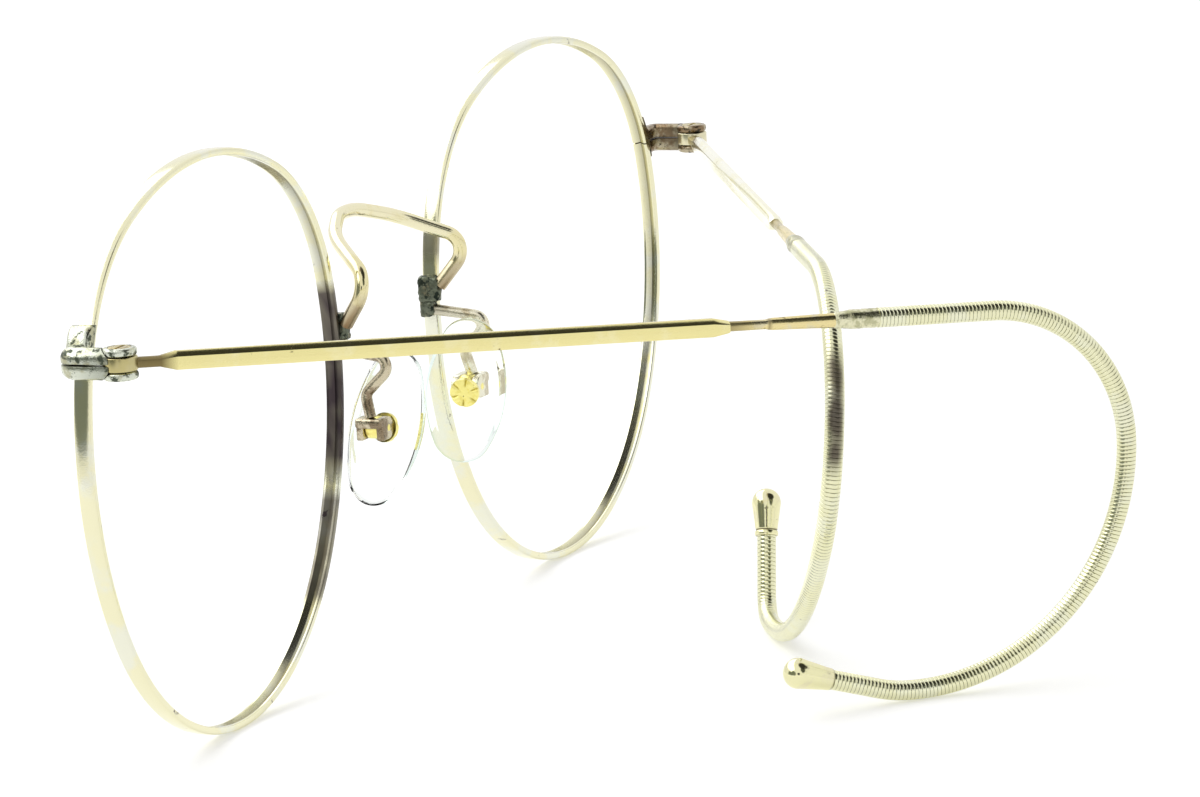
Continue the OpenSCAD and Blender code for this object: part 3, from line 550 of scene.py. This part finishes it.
at_pad = (Matrix.Translation(pin) @ Matrix.Rotation(-pad_pitch, 4, "X")
          @ Matrix.Rotation(-pad_splay, 4, "Z") @ Matrix.Rotation(-pad_lean, 4, "Y"))
disc_r, disc_t, stud_reach, stud_post_r = 1.25, 0.6, 1.2, 0.36


def soft_block(mesh, low, high, round_by):
    """A filed block with softened edges."""
    low, high = Vector(low), Vector(high)
    made = bmesh.ops.create_cube(mesh, size=1, matrix=Matrix.Translation((low + high) / 2)
                                 @ Matrix.Diagonal((*(high - low), 1)))["verts"]
    bmesh.ops.bevel(mesh, geom=list({e for v in made for e in v.link_edges}), offset=round_by,
                    segments=4, affect="EDGES", profile=0.5, material=-1)


def soft_disc(mesh, centre, thick, round_by):
    """A round cheek or ear across the pin, with softened edges."""
    made = bmesh.ops.create_cone(mesh, cap_ends=True, radius1=cheek_r, radius2=cheek_r, depth=thick, segments=40,
                                 matrix=Matrix.Translation(centre) @ Matrix.Rotation(math.pi / 2, 4, "X"))["verts"]
    sharp = {e for v in made for e in v.link_edges if e.is_manifold and e.calc_face_angle(0) > 1}
    bmesh.ops.bevel(mesh, geom=list(sharp), offset=round_by, segments=3, affect="EDGES", profile=0.5, material=-1)


def turned_round(mesh, outline, centre, axis, steps):
    """Turns an outline round its axis, as on a lathe."""
    edges = [mesh.edges.new(pair) for pair in zip(outline, outline[1:])]
    bmesh.ops.spin(mesh, geom=outline + edges, cent=centre, axis=axis, angle=math.tau, steps=steps,
                   use_merge=True)
    facing_out(mesh)


for side, hand in sides:
    arm, grime_and_painted_shade = fresh_mesh()
    arm_foot_z = foot.z - solder_h / 2
    bend_wire(arm, ((foot_at.x, foot_at.y, arm_foot_z - arm_solder_h / 2),
                    (pin.x + arm_d / 2, pin.y + arm_reach, pin.z + arm_rise),
                    (pin.x + arm_d / 2, pin.y - arm_d / 2, pin.z + arm_rise / 2),
                    (pin.x + web_x + web_t / 2 - arm_d / 2, pin.y, pin.z + cheek_r)),
              (0, arm_bend_r, arm_bend_r, 0), arm_d, sides=20)
    for y in (-box_w / 2, box_w / 2 - cheek_t):
        soft_disc(arm, (pin.x, pin.y + y + cheek_t / 2, pin.z), cheek_t, 0.12)
        soft_block(arm, (pin.x, pin.y + y + filed, pin.z - cheek_r),
                   (pin.x + web_x + 0.2, pin.y + y + cheek_t - filed, pin.z + cheek_r - filed), 0.12)
    soft_block(arm, (pin.x + web_x - 0.15, pin.y - box_w / 2 + 2 * filed, pin.z + 0.1),
               (pin.x + web_x + web_t, pin.y + box_w / 2 - 2 * filed, pin.z + cheek_r), 0.24)
    facing_out(arm)
    for v in arm.verts:
        v[grime_and_painted_shade] = 0.75 * max(0, 1 - (v.co - foot_at).length / 5)
    made = piece(arm, f"{hand}_arm_and_box", side, "front",
                 arm_finish if side == LEFT else pale_arm_finish)
    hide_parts(f"{hand}_pad_arm")

    lump = fresh_mesh()[0]
    solder_lump(lump, (foot_at.x - 0.6, foot_at.y - 0.66, arm_foot_z - arm_solder_h),
                (foot.x + 0.1, foot_at.y + 0.66, arm_foot_z + 0.3), 0.14, 5 + side)
    facing_out(lump)
    made = piece(lump, f"{hand}_arm_solder_run", side, "front", solder_finish, smooth=80)
    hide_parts(f"{hand}_pad_arm")

    rivet = fresh_mesh()[0]
    outline = [rivet.verts.new((pin.x + r, pin.y + y, pin.z)) for r, y in (
        (0, -box_w / 2 - 0.06), (0.2, -box_w / 2 - 0.05), (pin_r, -box_w / 2 + 0.05), (pin_r, box_w / 2 - 0.05),
        (0.2, box_w / 2 + 0.05), (0, box_w / 2 + 0.06))]
    turned_round(rivet, outline, pin, (0, 1, 0), 32)
    made = piece(rivet, f"{hand}_pin_riveted", side, "front", brass_finish)
    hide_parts(f"{hand}_pad_pin")

    stud, grime_and_painted_shade = fresh_mesh()
    bmesh.ops.create_circle(stud, cap_ends=True, cap_tris=True, radius=disc_r, segments=60)
    bmesh.ops.inset_region(stud, faces=stud.faces[:], thickness=0.35, use_even_offset=True)
    bmesh.ops.subdivide_edges(stud, edges=[e for e in stud.edges if e.calc_length() > 0.5], cuts=4,
                              use_grid_fill=True)
    for v in stud.verts:
        out, turn = math.hypot(v.co.x, v.co.y), math.atan2(v.co.y, v.co.x)
        notch = max(0, math.cos(6 * turn)) ** 6 * min(1, max(0, (out - 0.45) / 0.3))
        v.co.z = 0.16 * notch + 0.05 * max(0, out - 1.0) / 0.25
        v[grime_and_painted_shade] = notch * 0.3
    for v in corners_in(drawn_out(stud, stud.faces[:], keep=True)):
        v.co.z = disc_t
    post_l = stud_reach - pin_r
    bmesh.ops.create_cone(stud, cap_ends=True, radius1=stud_post_r, radius2=stud_post_r, segments=24,
                          depth=post_l, matrix=Matrix.Translation((0, 0, disc_t + post_l / 2)))
    bmesh.ops.transform(stud, verts=stud.verts, matrix=at_pad @ Matrix.Translation((-stud_reach - disc_t, 0, 0))
                        @ Matrix.Rotation(math.pi / 2, 4, "Y"))
    soft_disc(stud, pin, ear_t, 0.1)
    facing_out(stud)
    made = piece(stud, f"{hand}_stud_notched", side, f"{hand}_nose_pad", brass_finish)
    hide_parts(f"{hand}_pad_stud")


# Nose pads
# Two clear moulded pads, flat outside and crowned where they touch the nose. The stud's disc
# is moulded into each. The rim of the moulding looks faintly green.
pad_l, pad_w, pad_end_r, pad_t, pad_crown_r = 13.4, 7, 2.6, 1.5, 26
pad_finish = bpy.data.materials.new("pad clear")
pad_finish.use_nodes = True
clear = pad_finish.node_tree.nodes["Principled BSDF"]
put(clear, Transmission_Weight=1, IOR=1.32)
make, join = pad_finish.node_tree.nodes.new, pad_finish.node_tree.links.new
where, haze, raised, spread = (make("ShaderNodeTexCoord"), make("ShaderNodeTexNoise"), make("ShaderNodeBump"),
                               make("ShaderNodeMapRange"))
put(haze, Scale=700, Detail=4)
put(raised, Strength=0.004, Distance=0.0002)
put(spread, To_Min=0.0, To_Max=0.04)
edge_on, steep, tint = make("ShaderNodeLayerWeight"), make("ShaderNodeMapRange"), make("ShaderNodeMix")
put(edge_on, Blend=0.5)
put(steep, From_Min=0.3, From_Max=0.8)
tint.data_type = "RGBA"
put(tint, A=(0.98, 1.0, 0.985, 1), B=(0.50, 0.74, 0.64, 1))
join(edge_on.outputs["Facing"], steep.inputs["Value"])
join(steep.outputs[0], tint.inputs["Factor"])
join(tint.outputs["Result"], clear.inputs["Base Color"])
join(where.outputs["Object"], haze.inputs["Vector"])
join(haze.outputs["Fac"], raised.inputs["Height"])
join(haze.outputs["Fac"], spread.inputs["Value"])
join(spread.outputs[0], clear.inputs["Roughness"])
join(raised.outputs["Normal"], clear.inputs["Normal"])

reach = pad_l / 2 - pad_end_r
side_arc_r = (reach ** 2 + pad_w ** 2 / 4 - pad_end_r ** 2) / (pad_w - 2 * pad_end_r)
side_arc_c = side_arc_r - pad_w / 2
half_side = math.atan2(reach, side_arc_c)

for side, hand in sides:
    pad = fresh_mesh()[0]
    first = pad.verts.new((0, side_arc_r * math.cos(half_side) - side_arc_c, -side_arc_r * math.sin(half_side)))
    end = [first]
    for centre, angle, step in (((0, -side_arc_c, 0), 2 * half_side, 3), ((0, 0, reach), math.pi - 2 * half_side, 8),
                                ((0, side_arc_c, 0), 2 * half_side, 3), ((0, 0, -reach), math.pi - 2 * half_side, 8)):
        end = spun(pad, end, centre, (1, 0, 0), angle, step)
    bmesh.ops.remove_doubles(pad, verts=pad.verts, dist=0.001)
    outline = bmesh.ops.contextual_create(pad, geom=pad.edges[:])["faces"]
    scale_now = 1.0
    for scale, depth in ((1.0, -0.3), (0.985, -0.55), (0.95, -0.72), (0.9, None), (0.75, None),
                         (0.55, None), (0.35, None), (0.15, None)):
        moved = drawn_out(pad, outline, keep=len(pad.faces) == 1)
        for v in corners_in(moved):
            v.co.y *= scale / scale_now
            v.co.z *= scale / scale_now
            out = math.hypot(v.co.y, v.co.z)
            crown = -(pad_t - (pad_crown_r - math.sqrt(pad_crown_r ** 2 - out ** 2)))
            v.co.x = crown if depth is None else max(depth, crown * 0.999)
        outline, scale_now = faces_in(moved), scale
    facing_out(pad)
    bmesh.ops.transform(pad, verts=pad.verts, matrix=at_pad @ Matrix.Translation((-stud_reach, 0, 0)))
    made = piece(pad, f"{hand}_pad_moulding", side, f"{hand}_nose_pad", pad_finish, smooth=50)
    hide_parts(f"{hand}_pad")


# Temple bars
# Two flat gold-filled bars. Their edges are drawn with a bevel, the front is filed down to a
# narrow tongue that carries the middle knuckle, and the rear is drilled for the cable's core.
bar_start, bar_end, bar_h, bar_t, bar_slope, tongue_h, core_seat = 3, 48.8, 1.45, 1.15, 1.3, 0.8, 1.7
folds = {LEFT: math.radians(41.5), RIGHT: math.radians(59.3)}
falls = {LEFT: math.radians(3.04), RIGHT: math.radians(1.27)}
bar_finish = metal("bar yellow gold", (0.83, 0.75, 0.35), (0.85, 0.78, 0.42), (0.17, 0.125, 0.05),
                   roughness=0.14, worn_cover=0.4, grime_cover=0.03, patch=300, bump=0.04)
pale_bar_finish = metal("bar gold worn pale", (0.92, 0.90, 0.70), (0.94, 0.93, 0.80), (0.55, 0.47, 0.22),
                        roughness=0.14, worn_cover=0.5, grime_cover=0.05, patch=220, bump=0.04)

for side, hand in sides:
    bar, grime_and_painted_shade = fresh_mesh()
    half_t, half_h = bar_t / 2, bar_h / 2
    corners = [bar.verts.new((x, 0, z)) for x, z in (
        (-half_t, -half_h), (half_t, -half_h), (half_t, half_h), (-half_t, half_h))]
    bar.faces.new(corners)
    for pair, drawn in ((corners[:2], 0.18), (corners[2:], 0.38)):
        round_corners(bar, pair, drawn, 1)
    round_corners(bar, bar.verts[:], 0.035, 2)
    stations = ((0, tongue_h / 2), (bar_start, tongue_h / 2), (bar_start + 0.08, tongue_h / 2 + 0.02),
                (bar_start + bar_slope, half_h), (bar_start + bar_slope + 0.1, half_h), (bar_end * 0.5, half_h),
                (bar_end - bar_slope, half_h), (bar_end - 0.15, 0.5), (bar_end, 0.46))
    faces = bar.faces[:]
    high_now, at_now = half_h, 0
    for along, high in stations:
        if along:
            moved = drawn_out(bar, faces, keep=at_now == 0)
            faces, verts = faces_in(moved), corners_in(moved)
        else:
            verts = bar.verts[:]
        for v in verts:
            v.co.y = along
            v.co.z *= high / high_now
        high_now, at_now = high, along
    facing_out(bar)
    bmesh.ops.transform(bar, verts=bar.verts, matrix=Matrix.Rotation(-falls[side], 4, "X"))
    # the tongue is darkened for its dirt and as painted shade in its recess, and the scoop at the rear end as painted
    # shade
    for v in bar.verts:
        scoop_painted_shade = 0.8 if v.co.y > bar_end - 0.3 and v.co.z > 0 else 0.001
        v[grime_and_painted_shade] = min(0.92, max(scoop_painted_shade, bar_start + 1.4 - v.co.y))
    ring(bar, screw_r + 0.03, knuckle_r, -knuckle_h / 2, knuckle_h / 2, 0.1, Vector())
    bmesh.ops.recalc_face_normals(bar, faces=bar.faces)
    for v in bar.verts:
        v[grime_and_painted_shade] = v[grime_and_painted_shade] or 0.45
    bmesh.ops.transform(bar, verts=bar.verts,
                        matrix=Matrix.Translation(hinge) @ Matrix.Rotation(folds[side], 4, "Z"))
    made = piece(bar, f"{hand}_bar_and_knuckle", side, f"{hand}_side",
                 bar_finish if side == LEFT else pale_bar_finish, smooth=25)
    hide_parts(f"{hand}_temple_bar")


# Cable ends
# A springy core wire, seated in the bar and in the tip, with fine wire wound close over it.
# The winding's first turns are flooded with solder. Each was bent by hand to the ear.
winding_start, winding_d, soldered_l, core_r, core_seat_r = 58.7, 1.62, 2.6, 0.42, 0.4
tip_l, tip_r, collar_r = 4.1, 1.25, 1.0
burn_at, burn_reach = 86, 5.4
curls = {
    LEFT: dict(start=71.1, radii=(11.5, 18.5, 10.6), turns=(88.4, 93.2, 12.8), run=8.2, lean=0, pitch=0.318),
    RIGHT: dict(start=68.7, radii=(13.6, 25.9, 2.9), turns=(124.7, 57.2, 66.7), run=9, lean=6.4, pitch=0.345)}


def curl_length(curl):
    """Length of a cable from the hinge's axis to the end of its tip."""
    return curl["start"] + sum(r * math.radians(a) for r, a in zip(curl["radii"], curl["turns"])) + curl["run"]


def along_curl(curl, t):
    """Place and heading in the curl's plane at a length from the hinge's axis."""
    at, heading, left = Vector((curl["start"], 0)), 0.0, t - curl["start"]
    if left <= 0:
        return Vector((t, 0)), 0.0
    for r, turn in zip(curl["radii"], (math.radians(a) for a in curl["turns"])):
        centre = at + r * Vector((-math.sin(heading), math.cos(heading)))
        bend = min(turn, left / r)
        heading += bend
        at = centre + r * Vector((math.sin(heading), -math.cos(heading)))
        left -= r * bend
        if left <= 1e-9:
            return at, heading
    return at + left * Vector((math.cos(heading), math.sin(heading))), heading


def lay_on_curl(mesh, verts, side):
    """Bends what was made straight along X onto the curl, and puts it on its hinge."""
    curl = curls[side]
    in_plane = (Matrix.Translation(hinge) @ Matrix.Rotation(folds[side], 4, "Z")
                @ Matrix.Rotation(math.pi / 2, 4, "Z") @ Matrix.Rotation(-math.pi / 2, 4, "X")
                @ Matrix.Rotation(falls[side], 4, "Z") @ Matrix.Rotation(math.radians(curl["lean"]), 4, "X"))
    for v in verts:
        at, heading = along_curl(curl, v.co.x)
        v.co = in_plane @ Vector((at.x - v.co.y * math.sin(heading), at.y + v.co.y * math.cos(heading), v.co.z))


cable_finish = metal("cable pale gold", (0.80, 0.79, 0.53), (0.81, 0.81, 0.60), (0.07, 0.05, 0.045),
                     roughness=0.15, worn_cover=0.4, grime_cover=0.04, patch=260, bump=0.05)
flooded_finish = metal("turns flooded with solder", (0.74, 0.72, 0.50), (0.50, 0.49, 0.30), (0.16, 0.15, 0.08),
                       roughness=0.2, worn_cover=0.45, grime_cover=0.1, patch=1500, bump=0.3, dents=2500)
core_finish = metal("core gold", (0.80, 0.68, 0.34), (0.74, 0.66, 0.42), (0.16, 0.12, 0.05),
                    roughness=0.2, worn_cover=0.35, grime_cover=0.12, patch=700, bump=0.12)

for side, hand in sides:
    curl = curls[side]
    far = curl_length(curl) - tip_l

    core, grime_and_painted_shade = fresh_mesh()
    seated_at = Matrix.Translation((bar_end - core_seat, 0, 0)) @ Matrix.Rotation(math.pi / 2, 4, "Y")
    bmesh.ops.create_circle(core, cap_ends=True, radius=core_seat_r, segments=24, matrix=seated_at)
    faces, radius = core.faces[:], core_seat_r
    steps = [(bar_end, core_seat_r), (51.9, 0.39), (52.1, 0.44), (52.4, 0.49), (56, 0.56),
             (winding_start - 0.6, 0.6), (winding_start, 0.64), (winding_start + 0.4, core_r)]
    t = winding_start + 1.5
    while t < far + tip_l - tip_r:
        steps.append((t, core_r))
        t += 0.5 if t > curl["start"] - 1 else 2
    for t, r in steps:
        moved = drawn_out(core, faces, keep=len(core.faces) == 1)
        faces = faces_in(moved)
        for v in corners_in(moved):
            v.co = Vector((t, v.co.y * r / radius, v.co.z * r / radius))
            # painted shade: the core is darkened where it leaves the bar and under its step
            v[grime_and_painted_shade] = 0.6 if t in (bar_end, 52.1) else 0
        radius = r
    facing_out(core)
    lay_on_curl(core, core.verts, side)
    made = piece(core, f"{hand}_core_wire", side, f"{hand}_side", core_finish)
    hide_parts(f"{hand}_cable_core")

    coil, grime_and_painted_shade = fresh_mesh()
    pitch, around, strand_t, outside = curl["pitch"], 22, 0.3, winding_d / 2
    first = winding_start + soldered_l - pitch * 0.7
    strand = [coil.verts.new((first + x * pitch, outside - deep, 0))
              for x, deep in ((-0.5, strand_t), (0.5, strand_t), (0.5, 0), (-0.5, 0))]
    coil.faces.new(strand)
    round_corners(coil, strand[2:], 0.06, 3)
    # neighbouring turns touch, so a strand keeps its outside and its inside but no flanks
    bmesh.ops.delete(coil, geom=[e for e in coil.edges if e.calc_length() > strand_t / 2
                                 and abs(e.verts[0].co.x - e.verts[1].co.x) < 0.001], context="EDGES_FACES")
    # painted shade: each strand's edges, where it meets the next turn, are darkened
    for v in coil.verts:
        v[grime_and_painted_shade] = 0.3 if abs(v.co.x - first) > pitch * 0.47 else 0
    bmesh.ops.spin(coil, geom=coil.edges[:] + coil.verts[:], cent=(0, 0, 0), axis=(1, 0, 0),
                   angle=math.tau, steps=around, dvec=(pitch / around, 0, 0))
    turns = 1
    while first + turns * pitch < far:
        more = bmesh.ops.duplicate(coil, geom=coil.verts[:] + coil.edges[:] + coil.faces[:])["geom"]
        bmesh.ops.translate(coil, vec=(turns * pitch, 0, 0), verts=corners_in(more))
        turns *= 2
    bmesh.ops.remove_doubles(coil, verts=coil.verts, dist=0.0008)
    for cut_at, outwards in ((winding_start + soldered_l - 0.05, -1), (far + 0.1, 1)):
        bmesh.ops.bisect_plane(coil, geom=coil.verts[:] + coil.edges[:] + coil.faces[:], plane_co=(cut_at, 0, 0),
                               plane_no=(outwards, 0, 0), clear_outer=True, dist=0.0001)
        bmesh.ops.bridge_loops(coil, edges=[e for e in coil.edges if e.is_boundary
                                            and abs(e.verts[0].co.x - cut_at) < 0.001])
    bmesh.ops.recalc_face_normals(coil, faces=coil.faces)
    # a long burn lies on the right cable, on the side away from the ear
    for v in coil.verts:
        if side == RIGHT and v.co.y < 0:
            along = min(1, 3 * max(0, 1 - abs(v.co.x - burn_at) / burn_reach))
            across_it = min(1, max(0, 2.2 * -v.co.y / outside - 1.1 + 0.5 * noise.noise(v.co * 0.9)))
            v[grime_and_painted_shade] = max(v[grime_and_painted_shade], 0.9 * along * across_it)
    lay_on_curl(coil, coil.verts, side)
    made = piece(coil, f"{hand}_winding_coil", side, f"{hand}_side", cable_finish, smooth=24)
    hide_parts(f"{hand}_cable_winding")

    sleeve = fresh_mesh()[0]
    profile = [(-1.2, 0), (-1.2, 0.5), (-1.1, 0.6), (-0.7, 0.65), (-0.2, 0.71), (0.2, 0.76)]
    profile += [(0.3 + 0.165 * i, 0.79 - (0.03 if i % 2 else 0)) for i in range(15)]
    profile += [(soldered_l + 0.2, 0.7), (soldered_l + 0.2, 0)]
    turned_round(sleeve, [sleeve.verts.new((winding_start + x, r, 0)) for x, r in profile],
                 (0, 0, 0), (1, 0, 0), 32)
    for v in sleeve.verts:
        v.co.yz *= 1 + 0.05 * noise.noise(v.co * 2.5)
    lay_on_curl(sleeve, sleeve.verts, side)
    made = piece(sleeve, f"{hand}_winding_soldered_start", side, f"{hand}_side",
                 flooded_finish, smooth=60)
    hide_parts(f"{hand}_cable_winding")


# Temple tips
# Each cable ends in a turned and polished brass tip: a collar with a fine line behind it and
# a body that swells to a round end.
tip_finish = metal("tip polished gold", (0.82, 0.79, 0.48), (0.78, 0.74, 0.48), (0.10, 0.08, 0.03),
                   roughness=0.1, worn_cover=0.3, grime_cover=0.05, patch=500, bump=0.05)

for side, hand in sides:
    curl = curls[side]
    far = curl_length(curl) - tip_l
    ball = tip_l - tip_r
    tip, grime_and_painted_shade = fresh_mesh()
    if side == LEFT:
        # worn smooth: the collar is gone, and only its crushed edge is left
        profile = [(0, 0, 0.8), (0, 0.8, 0.8), (0.06, 0.88, 0.5), (0.2, 0.915, 0), (0.6, 0.94, 0)]
    else:
        profile = [(0, 0, 0.5), (0, 0.9, 0.5), (0.05, 0.97, 0), (0.12, collar_r, 0), (0.36, collar_r, 0),
                   (0.42, 0.95, 0.2), (0.47, 0.9, 0.9), (0.53, 0.9, 0.9), (0.58, 0.94, 0.2), (0.68, 0.955, 0)]
    profile += [(x, 0.955 + (tip_r - 0.955) * (x - 0.68) / (ball - 0.68), 0) for x in (1.2, 1.8, 2.4)]
    profile += [(ball + tip_r * math.sin(a), tip_r * math.cos(a), 0)
                for a in (math.radians(d) for d in (0, 10, 20, 30, 40, 50, 60, 70, 80, 90))]
    outline = []
    for x, r, dirty in profile:
        v = tip.verts.new((far + x, max(r, 0), 0))
        v[grime_and_painted_shade] = dirty
        outline.append(v)
    turned_round(tip, outline, (0, 0, 0), (1, 0, 0), 48)
    lay_on_curl(tip, tip.verts, side)
    made = piece(tip, f"{hand}_tip_turned", side, f"{hand}_side", tip_finish, smooth=50)
    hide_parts(f"{hand}_temple_tip")


# Floor and light
# White paper under and around the frame, lit from above through a tent, with a darker room
# beyond its opening on the camera's side.


def seen_directly(make, join, rays):
    """1 for what the camera sees itself, mirrored in metal or through glass, and else 0."""
    seen, seen_all = make("ShaderNodeMath"), make("ShaderNodeMath")
    seen.operation = seen_all.operation = "MAXIMUM"
    join(rays.outputs["Is Camera Ray"], seen.inputs[0])
    join(rays.outputs["Is Glossy Ray"], seen.inputs[1])
    join(seen.outputs[0], seen_all.inputs[0])
    join(rays.outputs["Is Transmission Ray"], seen_all.inputs[1])
    return seen_all.outputs[0]


paper = bpy.data.materials.new("white paper")
paper.use_nodes = True
tree = paper.node_tree
make, join = tree.nodes.new, tree.links.new
sheet = tree.nodes["Principled BSDF"]
put(sheet, Base_Color=(0.88, 0.88, 0.88, 1), Roughness=0.9, Emission_Color=(1, 1, 1, 1))
lift = make("ShaderNodeMath")
lift.operation = "MULTIPLY"
lift.inputs[1].default_value = 0.36
join(seen_directly(make, join, make("ShaderNodeLightPath")), lift.inputs[0])
join(lift.outputs[0], sheet.inputs["Emission Strength"])

ground = bmesh.new()
bmesh.ops.create_grid(ground, x_segments=2, y_segments=2, size=3)
bmesh.ops.translate(ground, vec=(-2.87, 0, -0.00002), verts=ground.verts)
data = bpy.data.meshes.new("paper")
ground.to_mesh(data)
ground.free()
data.materials.append(paper)
floor = bpy.data.objects.new("paper", data)
bpy.context.scene.collection.objects.link(floor)


def tent_spot():
    """How far a direction lies inside an oval, soft-edged part of the tent."""
    group, make, join, given, result = shared_effect(
        "tent spot", {"Vector": None, "Turn": None, "Size": None}, "Mask")
    faced, parts, flat = make("ShaderNodeMapping"), make("ShaderNodeSeparateXYZ"), make("ShaderNodeCombineXYZ")
    off, soft, ahead_of, both = (make("ShaderNodeVectorMath"), make("ShaderNodeMapRange"), make("ShaderNodeMath"),
                                 make("ShaderNodeMath"))
    faced.vector_type, off.operation, soft.interpolation_type = "TEXTURE", "LENGTH", "SMOOTHSTEP"
    ahead_of.operation, both.operation = "GREATER_THAN", "MULTIPLY"
    ahead_of.inputs[1].default_value = 0
    put(soft, From_Min=1.15, From_Max=0.85)
    for given_as, socket in (("Vector", "Vector"), ("Turn", "Rotation"), ("Size", "Scale")):
        join(given.outputs[given_as], faced.inputs[socket])
    join(faced.outputs["Vector"], parts.inputs[0])
    join(parts.outputs["Y"], flat.inputs["Y"])
    join(parts.outputs["Z"], flat.inputs["Z"])
    join(flat.outputs[0], off.inputs[0])
    join(off.outputs["Value"], soft.inputs["Value"])
    join(parts.outputs["X"], ahead_of.inputs[0])
    join(soft.outputs[0], both.inputs[0])
    join(ahead_of.outputs[0], both.inputs[1])
    join(both.outputs[0], result.inputs["Mask"])
    return group


tent_spot = tent_spot()
world = bpy.data.worlds.new("tent")
bpy.context.scene.world = world
world.use_nodes = True
tree = world.node_tree
make, join = tree.nodes.new, tree.links.new
tent = tree.nodes["Background"]
way_out, rays = make("ShaderNodeTexCoord"), make("ShaderNodeLightPath")
# the tent's opening and the room's dark things beyond it, seen only as reflections in metal:
# each one's direction, half its width and height in degrees, and its colour
mirrored_wall = None
for azimuth, elevation, wide, high, wall_colour in (
        (-28, 11, 31, 19, (0.20, 0.22, 0.19)), (24, 9, 9, 8, (0.03, 0.03, 0.035)),
        (64, 31, 17, 20, (0.08, 0.09, 0.07)), (88, 58, 24, 26, (0.04, 0.04, 0.035))):
    spot, over = make("ShaderNodeGroup"), make("ShaderNodeMix")
    spot.node_tree, over.data_type = tent_spot, "RGBA"
    put(spot, Turn=(0, -math.radians(elevation), math.radians(azimuth)))
    put(spot, Size=(1, math.sin(math.radians(wide)), math.sin(math.radians(high))))
    join(way_out.outputs["Generated"], spot.inputs["Vector"])
    put(over, A=(1, 1, 1, 1), B=(*wall_colour, 1))
    if mirrored_wall:
        join(mirrored_wall, over.inputs["A"])
    join(spot.outputs["Mask"], over.inputs["Factor"])
    mirrored_wall = over.outputs["Result"]
wall, mirrored_only = make("ShaderNodeMix"), make("ShaderNodeMath")
wall.data_type, mirrored_only.operation, mirrored_only.use_clamp = "RGBA", "SUBTRACT", True
put(wall, A=(1, 1, 1, 1))
join(mirrored_wall, wall.inputs["B"])
join(rays.outputs["Is Glossy Ray"], mirrored_only.inputs[0])
join(rays.outputs["Is Transmission Ray"], mirrored_only.inputs[1])
join(mirrored_only.outputs[0], wall.inputs["Factor"])
join(wall.outputs["Result"], tent.inputs["Color"])
power = make("ShaderNodeMapRange")
put(power, To_Min=0.5, To_Max=1.0)
join(seen_directly(make, join, rays), power.inputs["Value"])
join(power.outputs[0], tent.inputs["Strength"])

lamp = bpy.data.lights.new("tent roof", "AREA")
lamp.shape = "RECTANGLE"
lamp.size, lamp.size_y = 1.6, 0.5
lamp.energy = 3.6
roof = bpy.data.objects.new("tent roof", lamp)
roof_at = Vector((0.05, -0.42, 0.52))
roof.matrix_world = Matrix.Translation(roof_at) @ (-roof_at).to_track_quat("-Z", "Y").to_matrix().to_4x4()
bpy.context.scene.collection.objects.link(roof)

bpy.context.scene.view_settings.view_transform = "Standard"
